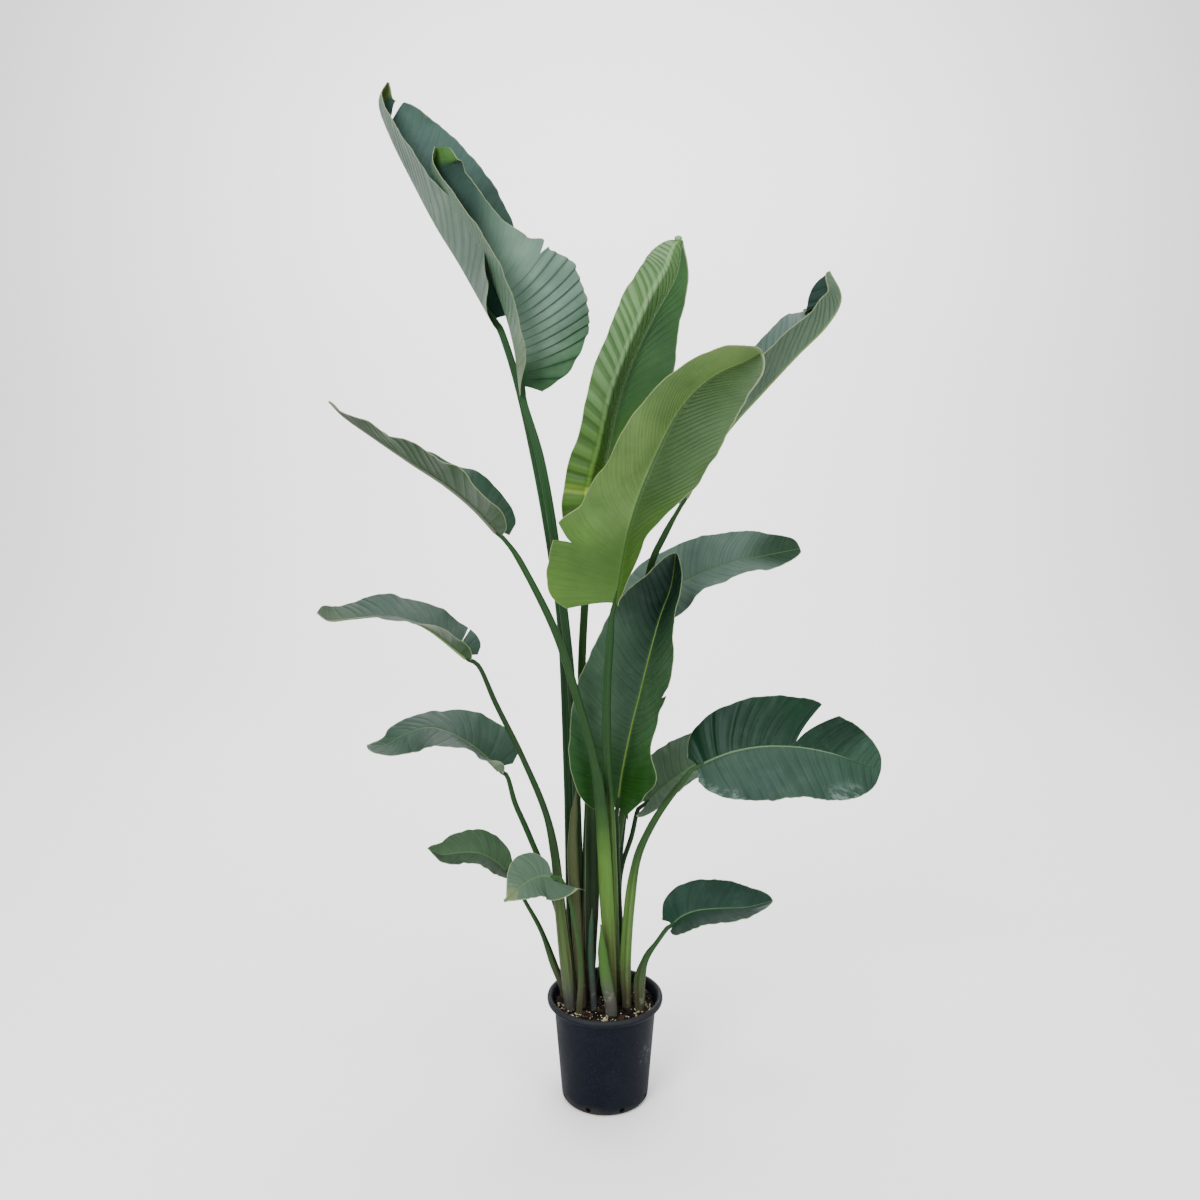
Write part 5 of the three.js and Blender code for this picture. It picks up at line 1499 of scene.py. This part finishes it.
def drop(copy, draw, settings, size, clumped):
    """Turns and sizes a copy and sets it on the mix."""
    if clumped and draw.random() < CLUMPED_SHARE:
        cx, cy = draw.choice(CLUMPS)
        x, y = cx + draw.gauss(0, 0.009), cy + draw.gauss(0, 0.008)
        shrink = min(1, STREWN_RADIUS / math.hypot(x, y))
        x, y = x * shrink, y * shrink
    else:
        turn = draw.uniform(0, 2 * math.pi)
        reach = STREWN_RADIUS * math.sqrt(draw.random())
        x, y = reach * math.cos(turn), reach * math.sin(turn)
    copy.rotation_euler = (draw.uniform(-0.6, 0.6), draw.uniform(-0.6, 0.6), draw.uniform(0, 6.28))
    copy.scale = size(draw)
    copy.location = (x, y, mix_height(x, y, settings) + 0.25 * min(copy.scale))


def chip_size(draw):
    """Length, width and thickness of a bark chip, drawn at random"""
    length = draw.uniform(0.006, 0.019)
    return (length, length * draw.uniform(0.35, 0.8), draw.uniform(0.002, 0.0045))


def granule_size(draw):
    """Length, width and thickness of a granule, drawn at random; most are small"""
    size = 0.0018 + 0.0044 * draw.random() ** 2
    return (size, size * draw.uniform(0.6, 1.0), size * draw.uniform(0.5, 0.9))


DRAIN_RING = 0.096  # distance of the drain holes from the pot's middle
DRILL_LENGTH = 0.03


class PLANT_OT_pot(bpy.types.Operator):
    """Models the nursery pot with its rolled rim and drain holes"""

    bl_idname = "plant.pot"
    bl_label = "Nursery pot"
    bl_options = {"REGISTER", "UNDO"}

    def execute(self, context):
        settings = context.scene.plant_pot
        alone()
        radius, height = POT_WALL[0]
        bpy.ops.mesh.primitive_circle_add(
            vertices=settings.turns, radius=radius * MM, fill_type="NGON", location=(0, 0, height))
        pot = context.object
        pot.name = pot.data.name = "nursery_pot"
        bpy.ops.object.mode_set(mode="EDIT")
        bpy.ops.mesh.select_all(action="SELECT")
        for next_radius, next_height in POT_WALL[1:]:
            rise = (next_height - height) * MM
            bpy.ops.mesh.extrude_region_move(TRANSFORM_OT_translate={"value": (0, 0, rise)})
            grow = next_radius / radius
            bpy.ops.transform.resize(value=(grow, grow, 1), center_override=(0, 0, next_height * MM))
            radius, height = next_radius, next_height
        bpy.ops.mesh.select_all(action="SELECT")
        bpy.ops.mesh.normals_make_consistent(inside=False)
        bpy.ops.object.mode_set(mode="OBJECT")
        for k in range(settings.drain_holes):
            turn = 2 * math.pi * (k + 0.5) / settings.drain_holes
            alone()
            x, y = DRAIN_RING * math.cos(turn), DRAIN_RING * math.sin(turn)
            bpy.ops.mesh.primitive_cylinder_add(
                vertices=32, radius=settings.drain_radius, depth=DRILL_LENGTH,
                location=(x, y, settings.drain_height), rotation=(0, math.pi / 2, turn))
            drill = context.object
            apply(pot, "BOOLEAN", operation="DIFFERENCE", object=drill, solver="EXACT")
            bpy.data.objects.remove(drill)
        alone()
        pot.select_set(True)
        context.view_layer.objects.active = pot
        smooth(40)
        pot.data.materials.append(pot_plastic(settings))
        settle(pot, "pot", "pot")
        return {"FINISHED"}


class PLANT_OT_mix(bpy.types.Operator):
    """Fills the pot with potting mix and strews bark chips and pale granules on it"""

    bl_idname = "plant.mix"
    bl_label = "Potting mix"
    bl_options = {"REGISTER", "UNDO"}

    def execute(self, context):
        settings = context.scene.plant_mix
        make_mix(settings)
        strew("bark_bits", chip_block, settings.chips,
              lambda copy, draw: drop(copy, draw, settings, chip_size, False),
              bark(), CHIP_SEED)
        strew("granule_bits", granule_ball, settings.granules,
              lambda copy, draw: drop(copy, draw, settings, granule_size, True),
              pumice(), GRANULE_SEED)
        return {"FINISHED"}


class PLANT_OT_stalks(bpy.types.Operator):
    """Models the fifteen stalks"""

    bl_idname = "plant.stalks"
    bl_label = "Stalks"
    bl_options = {"REGISTER", "UNDO"}

    def execute(self, context):
        for leaf in LEAVES:
            make_stalk(leaf, context.scene.plant_leaf)
        return {"FINISHED"}


class PLANT_OT_blades(bpy.types.Operator):
    """Models the fifteen leaf blades"""

    bl_idname = "plant.blades"
    bl_label = "Leaf blades"
    bl_options = {"REGISTER", "UNDO"}

    def execute(self, context):
        for leaf in LEAVES:
            make_blade(leaf, context.scene.plant_leaf)
        return {"FINISHED"}


class PLANT_OT_sheaths(bpy.types.Operator):
    """Models the loose sheaths at the foot of the clump"""

    bl_idname = "plant.sheaths"
    bl_label = "Loose sheaths"
    bl_options = {"REGISTER", "UNDO"}

    def execute(self, context):
        for sheath in SHEATHS:
            make_sheath(sheath, context.scene.plant_leaf)
        return {"FINISHED"}


def area_light(name, place, target, size, power):
    """A soft lamp at its place, turned to its target."""
    data = bpy.data.lights.new(name, "AREA")
    data.shape = "RECTANGLE"
    data.size, data.size_y = size
    data.energy = power
    lamp = bpy.data.objects.new(name, data)
    bpy.context.scene.collection.objects.link(lamp)
    lamp.location = place
    lamp.rotation_euler = (Vector(target) - Vector(place)).to_track_quat("-Z", "Y").to_euler()


FLOOR_SIDE = 12
WALL_HEIGHT = 8
SWEEP_RADIUS = 2.2  # of the bend between floor and wall
AIR_LIGHT = 0.7  # light from all round
SENSOR_WIDTH = 36
# name, place, target, width and height, power
LAMPS = [
    ("key_left", (-1.9, -3.4, 2.9), (0, 0, 1.1), (2.0, 2.0), 270),
    ("fill_right", (2.8, -3.6, 1.9), (0, 0, 1.2), (2.6, 2.6), 150),
    ("overhead", (0, 0.2, 4.4), (0, 0, 0.8), (3.6, 3.6), 240),
    ("wall_wash", (0, 2.6, 4.5), (0, 6, 1.6), (6.0, 1.2), 420),
]


def pick_edges(piece, chosen):
    """Selects the piece's edges whose two ends are both chosen, for edit mode."""
    bpy.ops.object.mode_set(mode="EDIT")
    bpy.ops.mesh.select_all(action="DESELECT")
    bpy.ops.object.mode_set(mode="OBJECT")
    for edge in piece.data.edges:
        edge.select = all(chosen(piece.data.vertices[i].co) for i in edge.vertices)
    bpy.ops.object.mode_set(mode="EDIT")


class PLANT_OT_stage(bpy.types.Operator):
    """Sets the pale floor, the soft lights and the camera"""

    bl_idname = "plant.stage"
    bl_label = "Stage"
    bl_options = {"REGISTER", "UNDO"}

    def execute(self, context):
        settings = context.scene.plant_stage
        alone()
        bpy.ops.mesh.primitive_plane_add(size=FLOOR_SIDE, location=(0, 0, 0))
        floor = context.object
        floor.name = floor.data.name = "studio_sweep"
        context.tool_settings.mesh_select_mode = (False, True, False)
        pick_edges(floor, lambda corner: corner.y > 0)
        bpy.ops.mesh.extrude_region_move(TRANSFORM_OT_translate={"value": (0, 0, WALL_HEIGHT)})
        bpy.ops.object.mode_set(mode="OBJECT")
        pick_edges(floor, lambda corner: corner.y > 0 and corner.z < WALL_HEIGHT / 2)
        bpy.ops.mesh.bevel(offset=SWEEP_RADIUS, segments=24)
        bpy.ops.object.mode_set(mode="OBJECT")
        context.tool_settings.mesh_select_mode = (True, False, False)
        smooth(60)
        floor.data.materials.append(floor_paint(settings))

        for lamp in LAMPS:
            area_light(*lamp)
        world = bpy.data.worlds.new("studio_air")
        context.scene.world = world
        world.use_nodes = True
        back = next(n for n in world.node_tree.nodes if n.type == "BACKGROUND")
        back.inputs["Color"].default_value = (1, 1, 1, 1)
        back.inputs["Strength"].default_value = AIR_LIGHT

        lens = bpy.data.cameras.new("photo_camera")
        lens.sensor_width = SENSOR_WIDTH
        lens.lens = settings.lens
        lens.clip_end = 60
        camera = bpy.data.objects.new("photo_camera", lens)
        context.scene.collection.objects.link(camera)
        camera.location = settings.camera_place
        camera.rotation_euler = (math.pi / 2 - settings.camera_pitch, 0, 0)
        context.scene.camera = camera
        return {"FINISHED"}


STEPS = (PLANT_OT_pot, PLANT_OT_mix, PLANT_OT_stalks, PLANT_OT_sheaths, PLANT_OT_blades,
         PLANT_OT_stage)
GROUPS = {
    "plant_pot": PotSettings,
    "plant_mix": MixSettings,
    "plant_leaf": LeafSettings,
    "plant_stage": StageSettings,
}


class PLANT_PT_panel(bpy.types.Panel):
    """Lists the steps that make the plant and their settings"""

    bl_idname = "PLANT_PT_panel"
    bl_label = "Bird of paradise"
    bl_space_type = "VIEW_3D"
    bl_region_type = "UI"
    bl_category = "Plant"

    def draw(self, context):
        for step in STEPS:
            self.layout.operator(step.bl_idname)
        for name in GROUPS:
            box = self.layout.box()
            group = getattr(context.scene, name)
            for key in group.bl_rna.properties.keys():
                if key not in ("rna_type", "name"):
                    box.prop(group, key)


def register():
    """Makes the settings, the steps and the panel known."""
    for group in GROUPS.values():
        bpy.utils.register_class(group)
    for name, group in GROUPS.items():
        setattr(bpy.types.Scene, name, bpy.props.PointerProperty(type=group))
    for step in STEPS:
        bpy.utils.register_class(step)
    bpy.utils.register_class(PLANT_PT_panel)


def unregister():
    """Takes them back in reverse order."""
    bpy.utils.unregister_class(PLANT_PT_panel)
    for step in reversed(STEPS):
        bpy.utils.unregister_class(step)
    for name, group in reversed(GROUPS.items()):
        delattr(bpy.types.Scene, name)
        bpy.utils.unregister_class(group)


def main():
    """Builds the plant and its stage."""
    register()
    bpy.ops.plant.pot()
    bpy.ops.plant.mix()
    bpy.ops.plant.stalks()
    bpy.ops.plant.sheaths()
    bpy.ops.plant.blades()
    bpy.ops.plant.stage()


if __name__ == "__main__":
    main()
